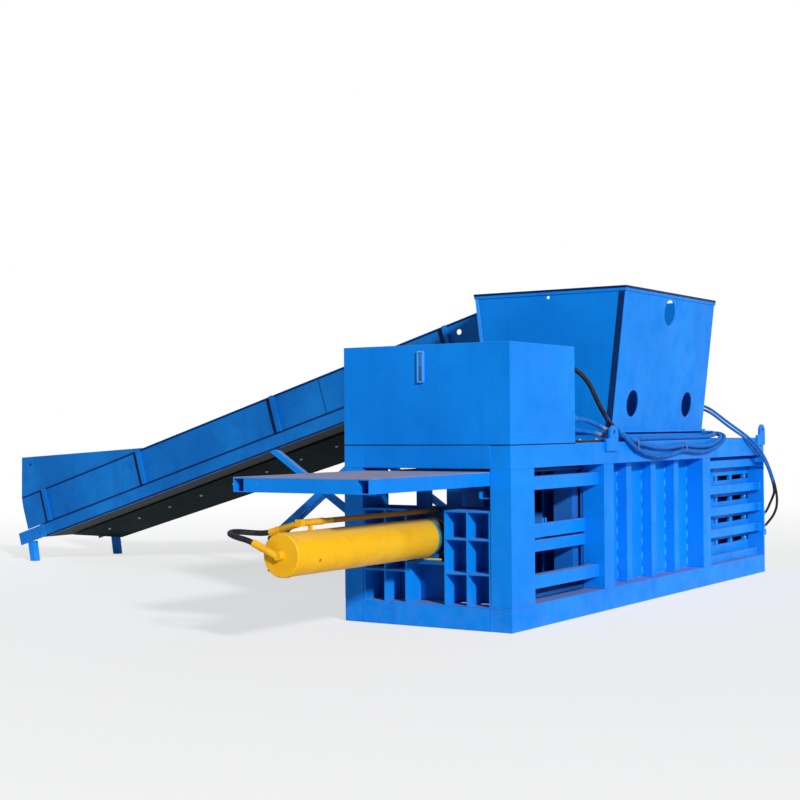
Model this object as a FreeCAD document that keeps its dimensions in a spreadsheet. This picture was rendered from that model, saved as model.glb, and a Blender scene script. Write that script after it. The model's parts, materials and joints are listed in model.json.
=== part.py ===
import FreeCAD, Part
import math
import os
import re
import Sketcher
from FreeCAD import Placement, Rotation, Vector

# Horizontal recycling baler with its feed conveyor, in millimetres and degrees.
# Press coordinates: x runs along the press from the cylinder end to the outlet, y across it from
# the near side to the conveyor side, z up from the floor. The finished part has its origin at the
# centre of the press frame's footprint, so pieces are placed half a frame back from these.

SIZES = {
    # press frame
    "frame_length": 5430, "frame_width": 1520, "frame_height": 1400,
    "beam_size": 180, "corner_post_width": 365, "side_post_width": 190,
    "entry_post_x": 1585, "strap_post_x": 3750, "outlet_plate": 25, "outlet_depth": 175,
    # baling chamber
    "wall_setback": 170, "wall_plate": 30, "floor_plate": 30, "roof_plate": 20,
    "rib_width": 105, "rib_depth": 95,
    # bars across the open bay beside the cylinder
    "entry_bar_setback": 60, "entry_bar_depth": 90, "entry_bar_height": 104,
    "entry_bar_low": 280, "entry_bar_drop": 71,
    "tie_bar_depth": 50, "tie_low": 545, "tie_low_height": 90, "tie_gap": 20, "tie_high_height": 110,
    # cylinder bulkhead and its rib grids
    "bulkhead_x": 200, "bulkhead_plate": 30, "bulkhead_top": 920, "bulkhead_bore": 100,
    "web_offset": 140, "web_width": 135, "grid_gap": 21, "grid_plate": 16,
    "grid_shelf_low": 414, "grid_shelf_high": 676, "grid_top": 887, "saddle_plate": 24, "saddle_z": 480,
    # strap bay at the outlet
    "slot_height": 50, "slot_pitch": 213, "slot_low": 335, "strap_bar_height": 80,
    "strap_bar_setback": 75, "strap_bar_depth": 35, "strap_end_offset": 148, "bar_pad": 50,
    "release_wall_x": 4440, "release_gap": 5, "release_pin_radius": 22, "release_eye_wall": 8,
    "spacer_width": 60,
    # lifting lugs
    "lug_width": 224, "lug_drop": 74, "lug_rise": 140, "lug_plate": 25, "lug_hole_radius": 22,
    "lug_hole_drop": 60, "lug_foot": 30, "lug_shoulder": 70, "lug_entry_x": 1601, "lug_outlet_setback": 240,
    # main cylinder
    "cylinder_z": 685, "barrel_radius": 150, "barrel_wall": 25, "barrel_back": 1760,
    "end_cap_length": 46, "end_cap_chamfer": 7, "gland_length": 95, "rod_radius": 75,
    "piston_length": 120, "piston_gap": 12, "seal_clearance": 0.4, "fit_clearance": 0.08,
    "oil_pipe_radius": 20, "oil_pipe_z": 890, "oil_pipe_back": 1326, "oil_pipe_front": 110,
    "oil_pipe_sleeve": 240, "cap_port_radius": 30, "cap_port_length": 42,
    # ram, drawn back
    "ram_face_x": 2250, "ram_back_x": 1590, "ram_face_depth": 60, "ram_side_gap": 6,
    "ram_lift": 12.3, "ram_pad_gap": 0.3, "ram_top_gap": 6, "ram_plate": 20, "groove_depth": 35,
    "ram_tail_x": 400, "cover_length": 1700, "tail_beam_depth": 60, "tail_beam_height": 250,
    "tail_beam_offset": 120, "tail_post_width": 105, "tail_post_depth": 175,
    "tail_post_setback": 245, "blade_height": 70, "blade_depth": 25,
    # discharge door, its hinges and its lock
    "door_gap": 4, "door_plate": 20, "door_margin": 50, "door_rib": 90, "hinge_pin_radius": 22,
    "hinge_eye_wall": 14, "hinge_out": 95, "hinge_inset": 75, "hinge_leaf": 60, "hinge_play": 2,
    "hinge_low": 300, "hinge_high": 980,
    "lock_bar_plate": 25, "lock_bar_width": 60, "lock_bar_inset": 30, "lock_bar_low": 215,
    "lock_bar_length": 940, "lock_stroke": 80, "lock_gap": 2, "latch_pin_radius": 20,
    "latch_out": 69, "latch_low": 355, "latch_high": 1085, "hook_plate": 26, "hook_seat": 30,
    "hook_lip": 40, "lock_cylinder_radius": 35, "lock_bore_radius": 25, "lock_cylinder_drop": 960,
    "lock_cylinder_length": 210, "lock_rod_radius": 16, "lock_rod_rise": 280, "lock_cylinder_out": 70,
    # platform over the cylinder
    "platform_length": 1600, "platform_inset": 180, "platform_tail": 200, "platform_drop": 22,
    "platform_tube": 100,
    "tube_wall": 6, "deck_plate": 5, "bracket_plate": 8, "bracket_size": 100, "bracket_x": 20,
    # oil tank and pump set
    "tank_length": 1066, "tank_height": 776, "gauge_height": 248, "gauge_width": 60,
    "gauge_depth": 22, "gauge_y": 755, "gauge_rise": 479, "breather_radius": 45,
    "breather_neck": 30, "breather_height": 55,
    "motor_radius": 140, "motor_length": 430, "motor_x": 1560, "motor_y": 480, "motor_rise": 220,
    "terminal_box": 120, "terminal_rise": 50,
    "pump_radius": 85, "pump_length": 240, "pump_foot": 40, "pump_plate": 20, "pump_plate_inset": 100,
    "pump_block_length": 200,
    "pump_block_width": 220, "pump_block_height": 120, "pump_block_y": 180, "pump_block_rise": 590,
    "outlet_block_gap": 55, "outlet_block_y": 230,
    "outlet_block_length": 190, "outlet_block_width": 300, "outlet_block_height": 100,
    "outlet_port_inset": 30, "outlet_port_pitch": 65, "outlet_port_rise": 56,
    "lock_port_inset": 170, "lock_port_pitch": 60,
    # hopper
    "hopper_x": 2070, "hopper_length": 2050, "collar_height": 100, "hopper_tall": 1250,
    "hopper_inset": 155, "hopper_top_inset": 6, "hopper_plate": 8, "hopper_hole_radius": 46,
    "rim_height": 45, "rim_plate": 8, "collar_drop": 22, "collar_foot": 40, "collar_lip": 25,
    "notch_margin": 150, "notch_gap": 0.3,
    # feed conveyor, square to the press
    "conveyor_x": 2570, "conveyor_width": 1280, "conveyor_slope": 16.74, "conveyor_head_y": 1220.6,
    "conveyor_head_rise": 831.5, "chassis_length": 6690, "chassis_height": 151, "chassis_flange": 65,
    "chassis_web": 8, "guard_length": 6968, "guard_height": 387, "guard_plate": 5,
    "upright_width": 45, "upright_depth": 40, "board_length": 2060, "board_rise": 452,
    "board_setback": 146, "board_foot": 267, "drum_radius": 71.5, "drum_shaft_radius": 22,
    "drum_z": 93, "head_drum_y": 130, "tail_drum_y": 6810, "belt_thickness": 7, "belt_gap": 0.5,
    "belt_edge_gap": 12, "cleat_height": 28, "cleat_width": 24, "bearing_size": 100,
    "take_up_plate": 14, "take_up_length": 440, "bed_plate": 6, "bed_strip": 40,
    "pan_x": 480, "pan_length": 4960, "pan_end": 6750, "pan_plate": 4, "pan_tail_drop": 85,
    "pan_head_drop": 180, "leg_size": 80, "leg_lean": 40, "near_leg_y": 7820, "far_leg_y": 7655,
    "support_tube": 65, "cross_beam_start": 1587, "cross_beam_width": 188, "cross_beam_inset": 5,
    "support_gradient": 0.645, "near_support_y": 2190, "far_support_y": 1874,
    "brace_x": 330, "brace_gradient": 0.756, "brace_foot_y": 4500, "brace_foot_height": 368,
    "gearbox_size": 150, "gearbox_depth": 130, "drive_motor_radius": 62, "drive_motor_length": 230,
    # hydraulic hoses and their fittings
    "hose_radius": 20, "lock_hose_radius": 13, "ferrule_radius": 24, "ferrule_length": 40,
    "lock_ferrule_radius": 16, "lock_ferrule_length": 30, "tie_width": 18, "tie_margin": 6,
}
SLOTS = 4
WALL_RIBS = 3
CLEATS = 14
UPRIGHTS = (783, 3005, 4984, 6539)

doc = FreeCAD.newDocument("RecyclingBaler")
sheet = doc.addObject("Spreadsheet::Sheet", "Dims")
for row, (alias, value) in enumerate(SIZES.items(), start=1):
    sheet.set(f"A{row}", alias)
    sheet.set(f"B{row}", str(value))
    sheet.setAlias(f"B{row}", alias)
doc.recompute()

ALIAS_WORDS = re.compile(r"\b(" + "|".join(sorted(SIZES, key=len, reverse=True)) + r")\b")
AXIS_TURNS = {"x": Rotation(Vector(0, 1, 0), 90), "y": Rotation(Vector(1, 0, 0), -90),
              "z": Rotation()}
PIECES = []


def size(alias):
    return float(sheet.get(alias))


def formula(text):
    """Expression text with each size name pointed at the sheet."""
    return ALIAS_WORDS.sub(r"Dims.\1", str(text))


def bind(thing, **texts):
    for name, text in texts.items():
        thing.setExpression(name.replace("__", "."), formula(text))
    return thing


def place(thing, x, y, z):
    """Put the thing's own origin at a point in press coordinates."""
    return bind(thing, Placement__Base__x=f"({x}) - frame_length / 2",
                Placement__Base__y=f"({y}) - frame_width / 2", Placement__Base__z=z)


def block(x, y, z, length, width, height):
    thing = bind(doc.addObject("Part::Box", "Block"), Length=length, Width=width, Height=height)
    return place(thing, x, y, z)


def sided_block(near, x, y, z, length, width, height):
    """A block whose y is measured inward from the near side or from the far side."""
    return block(x, y if near else f"frame_width - ({y}) - ({width})", z, length, width, height)


def twin_blocks(x, y, z, length, width, height):
    """The same block on the near side and mirrored on the far side."""
    return [sided_block(near, x, y, z, length, width, height) for near in (True, False)]


def rod(x, y, z, radius, length, axis):
    thing = doc.addObject("Part::Cylinder", "Rod")
    thing.Placement = Placement(Vector(), AXIS_TURNS[axis])
    bind(thing, Radius=radius, Height=length)
    return place(thing, x, y, z)


def fused(things):
    if len(things) == 1:
        return things[0]
    made = doc.addObject("Part::MultiFuse", "Fused")
    made.Shapes = things
    made.Refine = True
    return made


def cut(base, tools):
    made = doc.addObject("Part::Cut", "Cut")
    made.Base = base
    made.Tool = fused(tools)
    return made


def keep(thing, label):
    thing.Label = label
    PIECES.append(thing)
    return thing


def group(label, things):
    """Separate solids kept side by side in one piece."""
    made = doc.addObject("Part::Compound", "Group")
    made.Links = things
    return keep(made, label)


def pin_point(sketch, edge, end, name, across, up, start):
    """Fix one sketch point at an across and an up distance from the sketch's origin."""
    for suffix, kind, text, value in (("x", "DistanceX", across, start.x), ("y", "DistanceY", up, start.y)):
        index = sketch.addConstraint(Sketcher.Constraint(kind, -1, 1, edge, end, value))
        sketch.renameConstraint(index, f"{name}_{suffix}")
        sketch.setExpression(f"Constraints.{name}_{suffix}", formula(text))


def profile(role, corners, thickness, holes=()):
    """A plate padded from a closed outline whose corners are sheet expressions.

    The corners start on a rough ring, and the constraints move each one to its place.
    """
    body = doc.addObject("PartDesign::Body", "Plate")
    sketch = body.newObject("Sketcher::SketchObject", "Outline")
    plane = next(item for item in body.Origin.OriginFeatures if item.Role == role)
    sketch.AttachmentSupport = (plane, [""])
    sketch.MapMode = "FlatFace"
    count = len(corners)
    turn = 2 * math.pi / count
    ring = [Vector(900 * math.cos(turn * step), 900 * math.sin(turn * step), 0) for step in range(count)]
    for step in range(count):
        sketch.addGeometry(Part.LineSegment(ring[step], ring[(step + 1) % count]), False)
    for step in range(count):
        sketch.addConstraint(Sketcher.Constraint("Coincident", step, 2, (step + 1) % count, 1))
    for step, (across, up) in enumerate(corners):
        pin_point(sketch, step, 1, f"corner{step}", across, up, ring[step])
    for step, (across, up, radius) in enumerate(holes):
        edge = sketch.addGeometry(Part.Circle(Vector(5, 5, 0), Vector(0, 0, 1), 4), False)
        pin_point(sketch, edge, 3, f"hole{step}", across, up, Vector(5, 5, 0))
        index = sketch.addConstraint(Sketcher.Constraint("Radius", edge, 4))
        sketch.renameConstraint(index, f"hole{step}_radius")
        sketch.setExpression(f"Constraints.hole{step}_radius", formula(radius))
    pad = body.newObject("PartDesign::Pad", "Pad")
    pad.Profile = sketch
    bind(pad, Length=thickness)
    body.Tip = pad
    return body


def turned(outline):
    """A revolve about the x axis from (along, radius) corners given as sheet expressions."""
    body = doc.addObject("PartDesign::Body", "Turned")
    sketch = body.newObject("Sketcher::SketchObject", "Section")
    plane = next(item for item in body.Origin.OriginFeatures if item.Role == "XY_Plane")
    sketch.AttachmentSupport = (plane, [""])
    sketch.MapMode = "FlatFace"
    count = len(outline)
    turn = 2 * math.pi / count
    ring = [Vector(300 * math.cos(turn * step), 400 + 300 * math.sin(turn * step), 0)
            for step in range(count)]
    for step in range(count):
        sketch.addGeometry(Part.LineSegment(ring[step], ring[(step + 1) % count]), False)
    for step in range(count):
        sketch.addConstraint(Sketcher.Constraint("Coincident", step, 2, (step + 1) % count, 1))
    for step, (along, radius) in enumerate(outline):
        pin_point(sketch, step, 1, f"corner{step}", along, radius, ring[step])
    revolve = body.newObject("PartDesign::Revolution", "Revolve")
    revolve.Profile = sketch
    revolve.ReferenceAxis = (sketch, ["H_Axis"])
    revolve.Angle = 360
    body.Tip = revolve
    return body


# Levels and faces that several pieces share
TOP_BEAM_LOW = "(frame_height - beam_size)"
FLOOR_TOP = "(beam_size + floor_plate)"
WALL_INNER = "(wall_setback + wall_plate)"
CENTRE_Y = "(frame_width / 2)"
POST_TALL = f"({TOP_BEAM_LOW} - beam_size)"
OUTLET_INNER = "(frame_length - outlet_plate)"
STRAP_POST_END = "(strap_post_x + side_post_width)"
CHAMBER_WIDTH = f"(frame_width - 2 * {WALL_INNER})"
BARREL_FRONT = "(bulkhead_x - gland_length)"
PISTON_BACK = "(piston_gap - barrel_back)"
RELEASE_PIN_X = "(release_wall_x - release_pin_radius - release_gap)"
WALL_MIDDLE = "(wall_setback + wall_plate / 2)"
GRID_WIDTH = f"({CENTRE_Y} - beam_size - barrel_radius - grid_gap)"
BAR_HIGH = f"({TOP_BEAM_LOW} - entry_bar_drop - entry_bar_height)"
PLATFORM_TOP = f"({TOP_BEAM_LOW} - platform_drop)"
LUG_OUTLET_X = "(frame_length - lug_outlet_setback)"
LOCK_Z = "(frame_height - lock_cylinder_drop)"
LOCK_ROD_TOP = f"({LOCK_Z} + lock_rod_rise)"
MOTOR_Z = "(frame_height + motor_rise)"
PUMP_BLOCK_Z = "(frame_height + pump_block_rise)"
HOPPER_BASE = "(frame_height + collar_height)"
HOPPER_TOP = f"({HOPPER_BASE} + hopper_tall)"
HEAD_Z = "(frame_height + conveyor_head_rise)"


def press_frame():
    """Box-section beams and posts, welded face to face."""
    cross_length = "frame_width - 2 * beam_size"
    low = twin_blocks("0", "0", "0", "frame_length", "beam_size", "beam_size")
    for x in ("0", "entry_post_x", "(frame_length - beam_size) / 2", "strap_post_x",
              "frame_length - beam_size"):
        low.append(block(x, "beam_size", "0", "beam_size", cross_length, "beam_size"))
    group("bottom_beams", low)

    high = twin_blocks("0", "0", TOP_BEAM_LOW, "frame_length", "beam_size", "beam_size")
    for x, width in (("0", "bulkhead_x + bulkhead_plate"), ("hopper_x - beam_size", "beam_size"),
                     ("hopper_x + hopper_length", "beam_size"),
                     ("frame_length - beam_size", "beam_size")):
        high.append(block(x, "beam_size", TOP_BEAM_LOW, width, cross_length, "beam_size"))
    group("top_beams", high)

    posts = twin_blocks("0", "0", "beam_size", "corner_post_width", "beam_size", POST_TALL)
    for x in ("entry_post_x", "strap_post_x"):
        posts += twin_blocks(x, "0", "beam_size", "side_post_width", "wall_setback", POST_TALL)
    posts += twin_blocks(OUTLET_INNER, "0", "beam_size", "outlet_plate", "outlet_depth", POST_TALL)
    group("frame_posts", posts)


def chamber():
    """Floor, walls and roof of the baling chamber, open at the throat under the hopper."""
    wall_length = f"{RELEASE_PIN_X} - release_pin_radius - release_eye_wall - release_gap - entry_post_x"
    group("side_wall_plates", twin_blocks("entry_post_x", "wall_setback", "beam_size", wall_length,
                                          "wall_plate", POST_TALL))
    ribs = []
    bay_start = "(entry_post_x + side_post_width)"
    gap = f"((strap_post_x - {bay_start} - {WALL_RIBS} * rib_width) / {WALL_RIBS + 1})"
    for step in range(WALL_RIBS):
        x = f"{bay_start} + {step + 1} * {gap} + {step} * rib_width"
        ribs += twin_blocks(x, "wall_setback - rib_depth", "beam_size", "rib_width", "rib_depth", POST_TALL)
    group("side_ribs", ribs)

    floor_x = "(bulkhead_x + bulkhead_plate)"
    floor = block(floor_x, WALL_INNER, "beam_size", f"frame_length - {floor_x}", CHAMBER_WIDTH, "floor_plate")
    notches = [rod(RELEASE_PIN_X, y, "beam_size", "release_pin_radius + release_gap", POST_TALL, "z")
               for y in (WALL_MIDDLE, f"frame_width - {WALL_MIDDLE}")]
    keep(cut(floor, notches), "chamber_floor")
    roof_z = f"{TOP_BEAM_LOW} - roof_plate"
    group("chamber_roof", [
        block("entry_post_x", WALL_INNER, roof_z, "ram_face_x - entry_post_x", CHAMBER_WIDTH, "roof_plate"),
        cut(block("strap_post_x", WALL_INNER, roof_z, "frame_length - strap_post_x", CHAMBER_WIDTH,
                  "roof_plate"), notches),
        block("strap_post_x", WALL_INNER, TOP_BEAM_LOW, "blade_depth", CHAMBER_WIDTH, "blade_height")])


def entry_bay():
    """Bars that close the open bay between the corner post and the entry post."""
    bay = "entry_post_x - corner_post_width"
    bars = []
    for z in ("entry_bar_low", BAR_HIGH):
        bars += twin_blocks("corner_post_width", "entry_bar_setback", z, bay, "entry_bar_depth",
                            "entry_bar_height")
    group("entry_window_bars", bars)
    tie_x = "(bulkhead_x + bulkhead_plate)"
    tie_length = f"entry_post_x - {tie_x}"
    ties = twin_blocks(tie_x, "beam_size", "tie_low", tie_length, "tie_bar_depth", "tie_low_height")
    ties += twin_blocks(tie_x, "beam_size", "tie_low + tie_low_height + tie_gap", tie_length,
                        "tie_bar_depth", "tie_high_height")
    group("middle_tie_bars", ties)


def bulkhead():
    """Thrust plate of the cylinder: its two webs reach the top beam, and the rod passes its bore."""
    near_web = f"({CENTRE_Y} - web_offset)"
    far_web = f"({CENTRE_Y} + web_offset)"
    half = "web_width / 2"
    outline = [("beam_size", "beam_size"), ("frame_width - beam_size", "beam_size"),
               ("frame_width - beam_size", "bulkhead_top")]
    for web in (far_web, near_web):
        outline += [(f"{web} + {half}", "bulkhead_top"), (f"{web} + {half}", TOP_BEAM_LOW),
                    (f"{web} - {half}", TOP_BEAM_LOW), (f"{web} - {half}", "bulkhead_top")]
    outline.append(("beam_size", "bulkhead_top"))
    plate = profile("YZ_Plane", outline, "bulkhead_plate", [(CENTRE_Y, "cylinder_z", "bulkhead_bore")])
    keep(place(plate, "bulkhead_x", "0", "0"), "cylinder_bulkhead")

    group("bulkhead_rib_grids", rib_grid(True) + rib_grid(False))

    low_y = f"beam_size + {GRID_WIDTH}"
    width = f"frame_width - 2 * (beam_size + {GRID_WIDTH})"
    shelf = block("0", low_y, "saddle_z", "bulkhead_x", width, "saddle_plate")
    cradle_width = "barrel_radius * 1.2"
    cradle = block("0", f"{CENTRE_Y} - {cradle_width} / 2", "saddle_z", f"{BARREL_FRONT}",
                   cradle_width, "cylinder_z - saddle_z")
    bed = rod("0 - bulkhead_x", CENTRE_Y, "cylinder_z", "barrel_radius", "3 * bulkhead_x", "x")
    keep(cut(fused([shelf, cradle]), [bed]), "cylinder_saddle")


def rib_grid(near):
    """An egg-crate of two columns and three rows of open cells against the thrust plate."""
    parts = []
    column = f"(({GRID_WIDTH} - grid_plate) / 2)"
    tall = "grid_top + grid_plate - beam_size"
    for step in range(3):
        y = f"beam_size + {step} * {column}"
        parts.append(sided_block(near, "0", y, "beam_size", "bulkhead_x", "grid_plate", tall))
    for z in ("grid_shelf_low", "grid_shelf_high", "grid_top"):
        for step in range(2):
            y = f"beam_size + {step} * {column} + grid_plate"
            parts.append(sided_block(near, "0", y, z, "bulkhead_x", f"{column} - grid_plate", "grid_plate"))
    return parts


def strap_bay():
    """Slotted bay where the bale is tied: fixed outer bars and two hinged inner walls."""
    bars = []
    bar_length = f"{OUTLET_INNER} - {STRAP_POST_END}"
    middle = "slot_low + slot_height / 2"
    levels = [f"{middle} - strap_end_offset"]
    levels += [f"{middle} + slot_pitch * {step + 0.5}" for step in range(SLOTS - 1)]
    levels.append(f"{middle} + slot_pitch * {SLOTS - 1} + strap_end_offset")
    for level in levels[1:]:
        bars += twin_blocks(STRAP_POST_END, "strap_bar_setback", f"{level} - strap_bar_height / 2",
                            bar_length, "strap_bar_depth", "strap_bar_height")
    bars += twin_blocks(STRAP_POST_END, "strap_bar_setback", "beam_size", bar_length, "strap_bar_depth",
                        f"{levels[0]} + strap_bar_height / 2 - beam_size")
    for level in levels[1:4]:
        bars += twin_blocks(f"{OUTLET_INNER} - bar_pad", "strap_bar_setback - bar_pad",
                            f"{level} - strap_bar_height / 2", "bar_pad", "bar_pad", "strap_bar_height")
    group("outer_strap_bars", bars)

    group("near_release_wall", release_wall(True))
    group("far_release_wall", release_wall(False))


def release_wall(near):
    """Five bars with strap slots between them, joined by spacers and hung on a pin by two eyes."""
    pin_y = WALL_MIDDLE if near else f"frame_width - {WALL_MIDDLE}"
    reach = f"({OUTLET_INNER} - release_gap - release_wall_x)"
    edges = [f"({FLOOR_TOP} + ram_pad_gap)"]
    for step in range(SLOTS):
        edges += [f"(slot_low + slot_pitch * {step})", f"(slot_low + slot_pitch * {step} + slot_height)"]
    edges.append(f"({TOP_BEAM_LOW} - roof_plate - ram_pad_gap)")

    def wall_block(x, low, length, high):
        return sided_block(near, x, "wall_setback", low, length, "wall_plate", f"{high} - {low}")
    parts = []
    for low, high in zip(edges[2:-2:2], edges[3:-2:2]):
        parts.append(wall_block("release_wall_x", low, reach, high))
    for low, high in zip(edges[1:-1:2], edges[2:-1:2]):
        for share in ("0.06", "0.5", "0.94"):
            parts.append(wall_block(f"release_wall_x + ({reach} - spacer_width) * {share}", low,
                                    "spacer_width", high))
    for low, high in ((edges[0], edges[1]), (edges[-2], edges[-1])):
        tall = f"{high} - {low}"
        eye = rod(RELEASE_PIN_X, pin_y, low, "release_pin_radius + release_eye_wall", tall, "z")
        bar = wall_block(RELEASE_PIN_X, low, f"{reach} + release_wall_x - {RELEASE_PIN_X}", high)
        bore = rod(RELEASE_PIN_X, pin_y, low, "release_pin_radius + fit_clearance", tall, "z")
        parts.append(cut(fused([eye, bar]), [bore]))
    return parts


def lifting_lugs():
    """Lifting eyes on the outer faces of the top beams, each with a round head above a wide foot."""
    head = "((lug_width - lug_shoulder) / 2)"
    middle = "(lug_shoulder + (lug_width - lug_shoulder) / 2)"
    top = "(frame_height + lug_rise)"
    lugs = []
    for x in ("lug_entry_x", LUG_OUTLET_X):
        for near in (True, False):
            y = "0 - lug_plate" if near else "frame_width"
            foot = block(x, y, "frame_height - lug_drop", "lug_width", "lug_plate", "lug_drop + lug_foot")
            neck = block(f"{x} + lug_shoulder", y, "frame_height", "lug_width - lug_shoulder",
                         "lug_plate", f"lug_rise - {head}")
            crown = rod(f"{x} + {middle}", y, f"{top} - {head}", head, "lug_plate", "y")
            hole = rod(f"{x} + {middle}", y, f"{top} - lug_hole_drop", "lug_hole_radius", "lug_plate", "y")
            lugs.append(cut(fused([foot, neck, crown]), [hole]))
    group("lifting_lugs", lugs)


def main_cylinder():
    """Barrel, end cap and gland on the bulkhead, with the piston drawn back inside."""
    barrel = turned([("0 - barrel_back", "barrel_radius"), (BARREL_FRONT, "barrel_radius"),
                     (BARREL_FRONT, "barrel_radius - barrel_wall"),
                     ("0 - barrel_back", "barrel_radius - barrel_wall")])
    barrel = place(barrel, "0", CENTRE_Y, "cylinder_z")
    keep(barrel, "cylinder_barrel")
    back = "(0 - barrel_back - end_cap_length)"
    cap = turned([(back, "0"), (back, "barrel_radius - end_cap_chamfer"),
                  (f"{back} + end_cap_chamfer", "barrel_radius"), ("0 - barrel_back", "barrel_radius"),
                  ("0 - barrel_back", "0")])
    keep(place(cap, "0", CENTRE_Y, "cylinder_z"), "cylinder_end_cap")
    bore = "rod_radius + fit_clearance"
    gland = turned([(BARREL_FRONT, bore), (BARREL_FRONT, "barrel_radius"), ("bulkhead_x", "barrel_radius"),
                    ("bulkhead_x", bore)])
    keep(place(gland, "0", CENTRE_Y, "cylinder_z"), "cylinder_gland")

    piston_radius = "(barrel_radius - barrel_wall - seal_clearance)"
    piston_front = f"({PISTON_BACK} + piston_length)"
    ring = "piston_length / 5"
    piston = turned([(PISTON_BACK, "0"), (PISTON_BACK, piston_radius),
                     (f"{PISTON_BACK} + 2 * {ring}", piston_radius),
                     (f"{PISTON_BACK} + 2 * {ring}", f"{piston_radius} - 6"),
                     (f"{PISTON_BACK} + 3 * {ring}", f"{piston_radius} - 6"),
                     (f"{PISTON_BACK} + 3 * {ring}", piston_radius),
                     (piston_front, piston_radius), (piston_front, "0")])
    keep(place(piston, "0", CENTRE_Y, "cylinder_z"), "piston")
    keep(rod(piston_front, CENTRE_Y, "cylinder_z", "rod_radius", f"ram_tail_x - {piston_front}", "x"),
         "piston_rod")


def ram():
    """Welded ram: grooved face, box body, long cover plate and the tail beams that the rod pushes."""
    low = f"({FLOOR_TOP} + ram_lift)"
    top = f"({TOP_BEAM_LOW} - roof_plate - ram_top_gap)"
    side = f"({WALL_INNER} + ram_side_gap)"
    width = f"(frame_width - 2 * {side})"
    face_back = "(ram_face_x - ram_face_depth)"
    comb = [(face_back, low), ("ram_face_x", low)]
    for step in range(SLOTS):
        z = f"(slot_low + slot_pitch * {step})"
        comb += [("ram_face_x", z), ("ram_face_x - groove_depth", z),
                 ("ram_face_x - groove_depth", f"{z} + slot_height"), ("ram_face_x", f"{z} + slot_height")]
    blade_low = f"{top} - blade_height"
    comb += [("ram_face_x", blade_low), ("ram_face_x - blade_depth", blade_low),
             ("ram_face_x - blade_depth", top), (face_back, top)]
    face = place(profile("XZ_Plane", comb, width), "0", f"frame_width - {side}", "0")
    blade = block("ram_face_x - blade_depth", side, blade_low, "blade_depth", width, "blade_height")
    group("ram_face_plate", [face, blade])

    length = f"({face_back} - ram_back_x)"
    cover_low = f"({top} - ram_plate)"
    web_low = f"({low} + ram_plate)"
    tall = f"({cover_low} - {web_low})"
    parts = twin_blocks("ram_back_x", side, web_low, length, "ram_plate", tall)
    parts.append(block("ram_back_x", side, low, length, width, "ram_plate"))
    bay = f"(({width} - 2 * ram_plate - 2 * ram_plate) / 3)"
    for step in range(2):
        y = f"{side} + ram_plate + {step + 1} * {bay} + {step} * ram_plate"
        parts.append(block("ram_back_x", y, web_low, length, "ram_plate", tall))
    for step in range(3):
        y = f"{side} + ram_plate + {step} * ({bay} + ram_plate)"
        parts.append(block(f"{face_back} - {length} / 2", y, web_low, "ram_plate", bay, f"{tall} / 2"))
    parts += twin_blocks("ram_back_x - tail_post_width", "tail_post_setback", low, "tail_post_width",
                         "tail_post_depth", f"{cover_low} - {low}")
    for step in range(3):
        x = f"ram_back_x + {length} * {step} / 3"
        parts += twin_blocks(x, side, f"{FLOOR_TOP} + ram_pad_gap", f"{length} / 6",
                             f"{width} / 8", "ram_lift - ram_pad_gap")
    group("ram_body", parts)
    keep(block("ram_face_x - ram_face_depth - cover_length", side, cover_low, "cover_length", width,
               "ram_plate"), "ram_cover_plate")

    beam_z = "cylinder_z - tail_beam_height / 2"
    beam_y = f"{CENTRE_Y} - tail_beam_offset - tail_beam_depth"
    rear_end = "(ram_tail_x + tail_beam_depth)"
    tail = twin_blocks(rear_end, beam_y, beam_z, f"ram_back_x - {rear_end}", "tail_beam_depth",
                       "tail_beam_height")
    tail.append(block("ram_tail_x", beam_y, beam_z, "tail_beam_depth",
                      "2 * (tail_beam_offset + tail_beam_depth)", "tail_beam_height"))
    tail.append(block("ram_back_x - ram_plate", f"{CENTRE_Y} - tail_beam_offset", beam_z, "ram_plate",
                      "2 * tail_beam_offset", "tail_beam_height"))
    group("ram_tail_beams", tail)


def platform():
    """Service platform of box tubes, open at their outer ends, under a thin deck plate."""
    low = f"({PLATFORM_TOP} - deck_plate - platform_tube)"
    start = "0 - platform_length"
    bore = "platform_tube - 2 * tube_wall"
    reach = "platform_length + platform_tail"
    tubes = []
    for y in ("platform_inset", "frame_width - platform_inset - platform_tube"):
        tube = block(start, y, low, reach, "platform_tube", "platform_tube")
        hollow = block(start, f"{y} + tube_wall", f"{low} + tube_wall", reach, bore, bore)
        tubes.append(cut(tube, [hollow]))
    between = "frame_width - 2 * (platform_inset + platform_tube)"
    for x in (start, "0 - platform_length / 2", "0 - platform_tube"):
        tubes.append(block(x, "platform_inset + platform_tube", low, "platform_tube", between,
                           "platform_tube"))
    group("platform_frame", tubes)
    keep(block(start, "platform_inset", f"{PLATFORM_TOP} - deck_plate", "platform_length",
               "frame_width - 2 * platform_inset", "deck_plate"), "platform_deck")
    bracket_z = f"({low} - bracket_size)"
    brackets = twin_blocks("bracket_x", "beam_size", bracket_z, "bracket_size", "bracket_plate",
                           "bracket_size")
    brackets += twin_blocks("bracket_x", "beam_size + bracket_plate", bracket_z, "bracket_size",
                            "bracket_size", "bracket_plate")
    brackets += twin_blocks("bracket_x", "beam_size + bracket_size", f"{bracket_z} + bracket_plate",
                            "bracket_size", "bracket_plate", "bracket_size / 2")
    group("platform_brackets", brackets)


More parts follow.
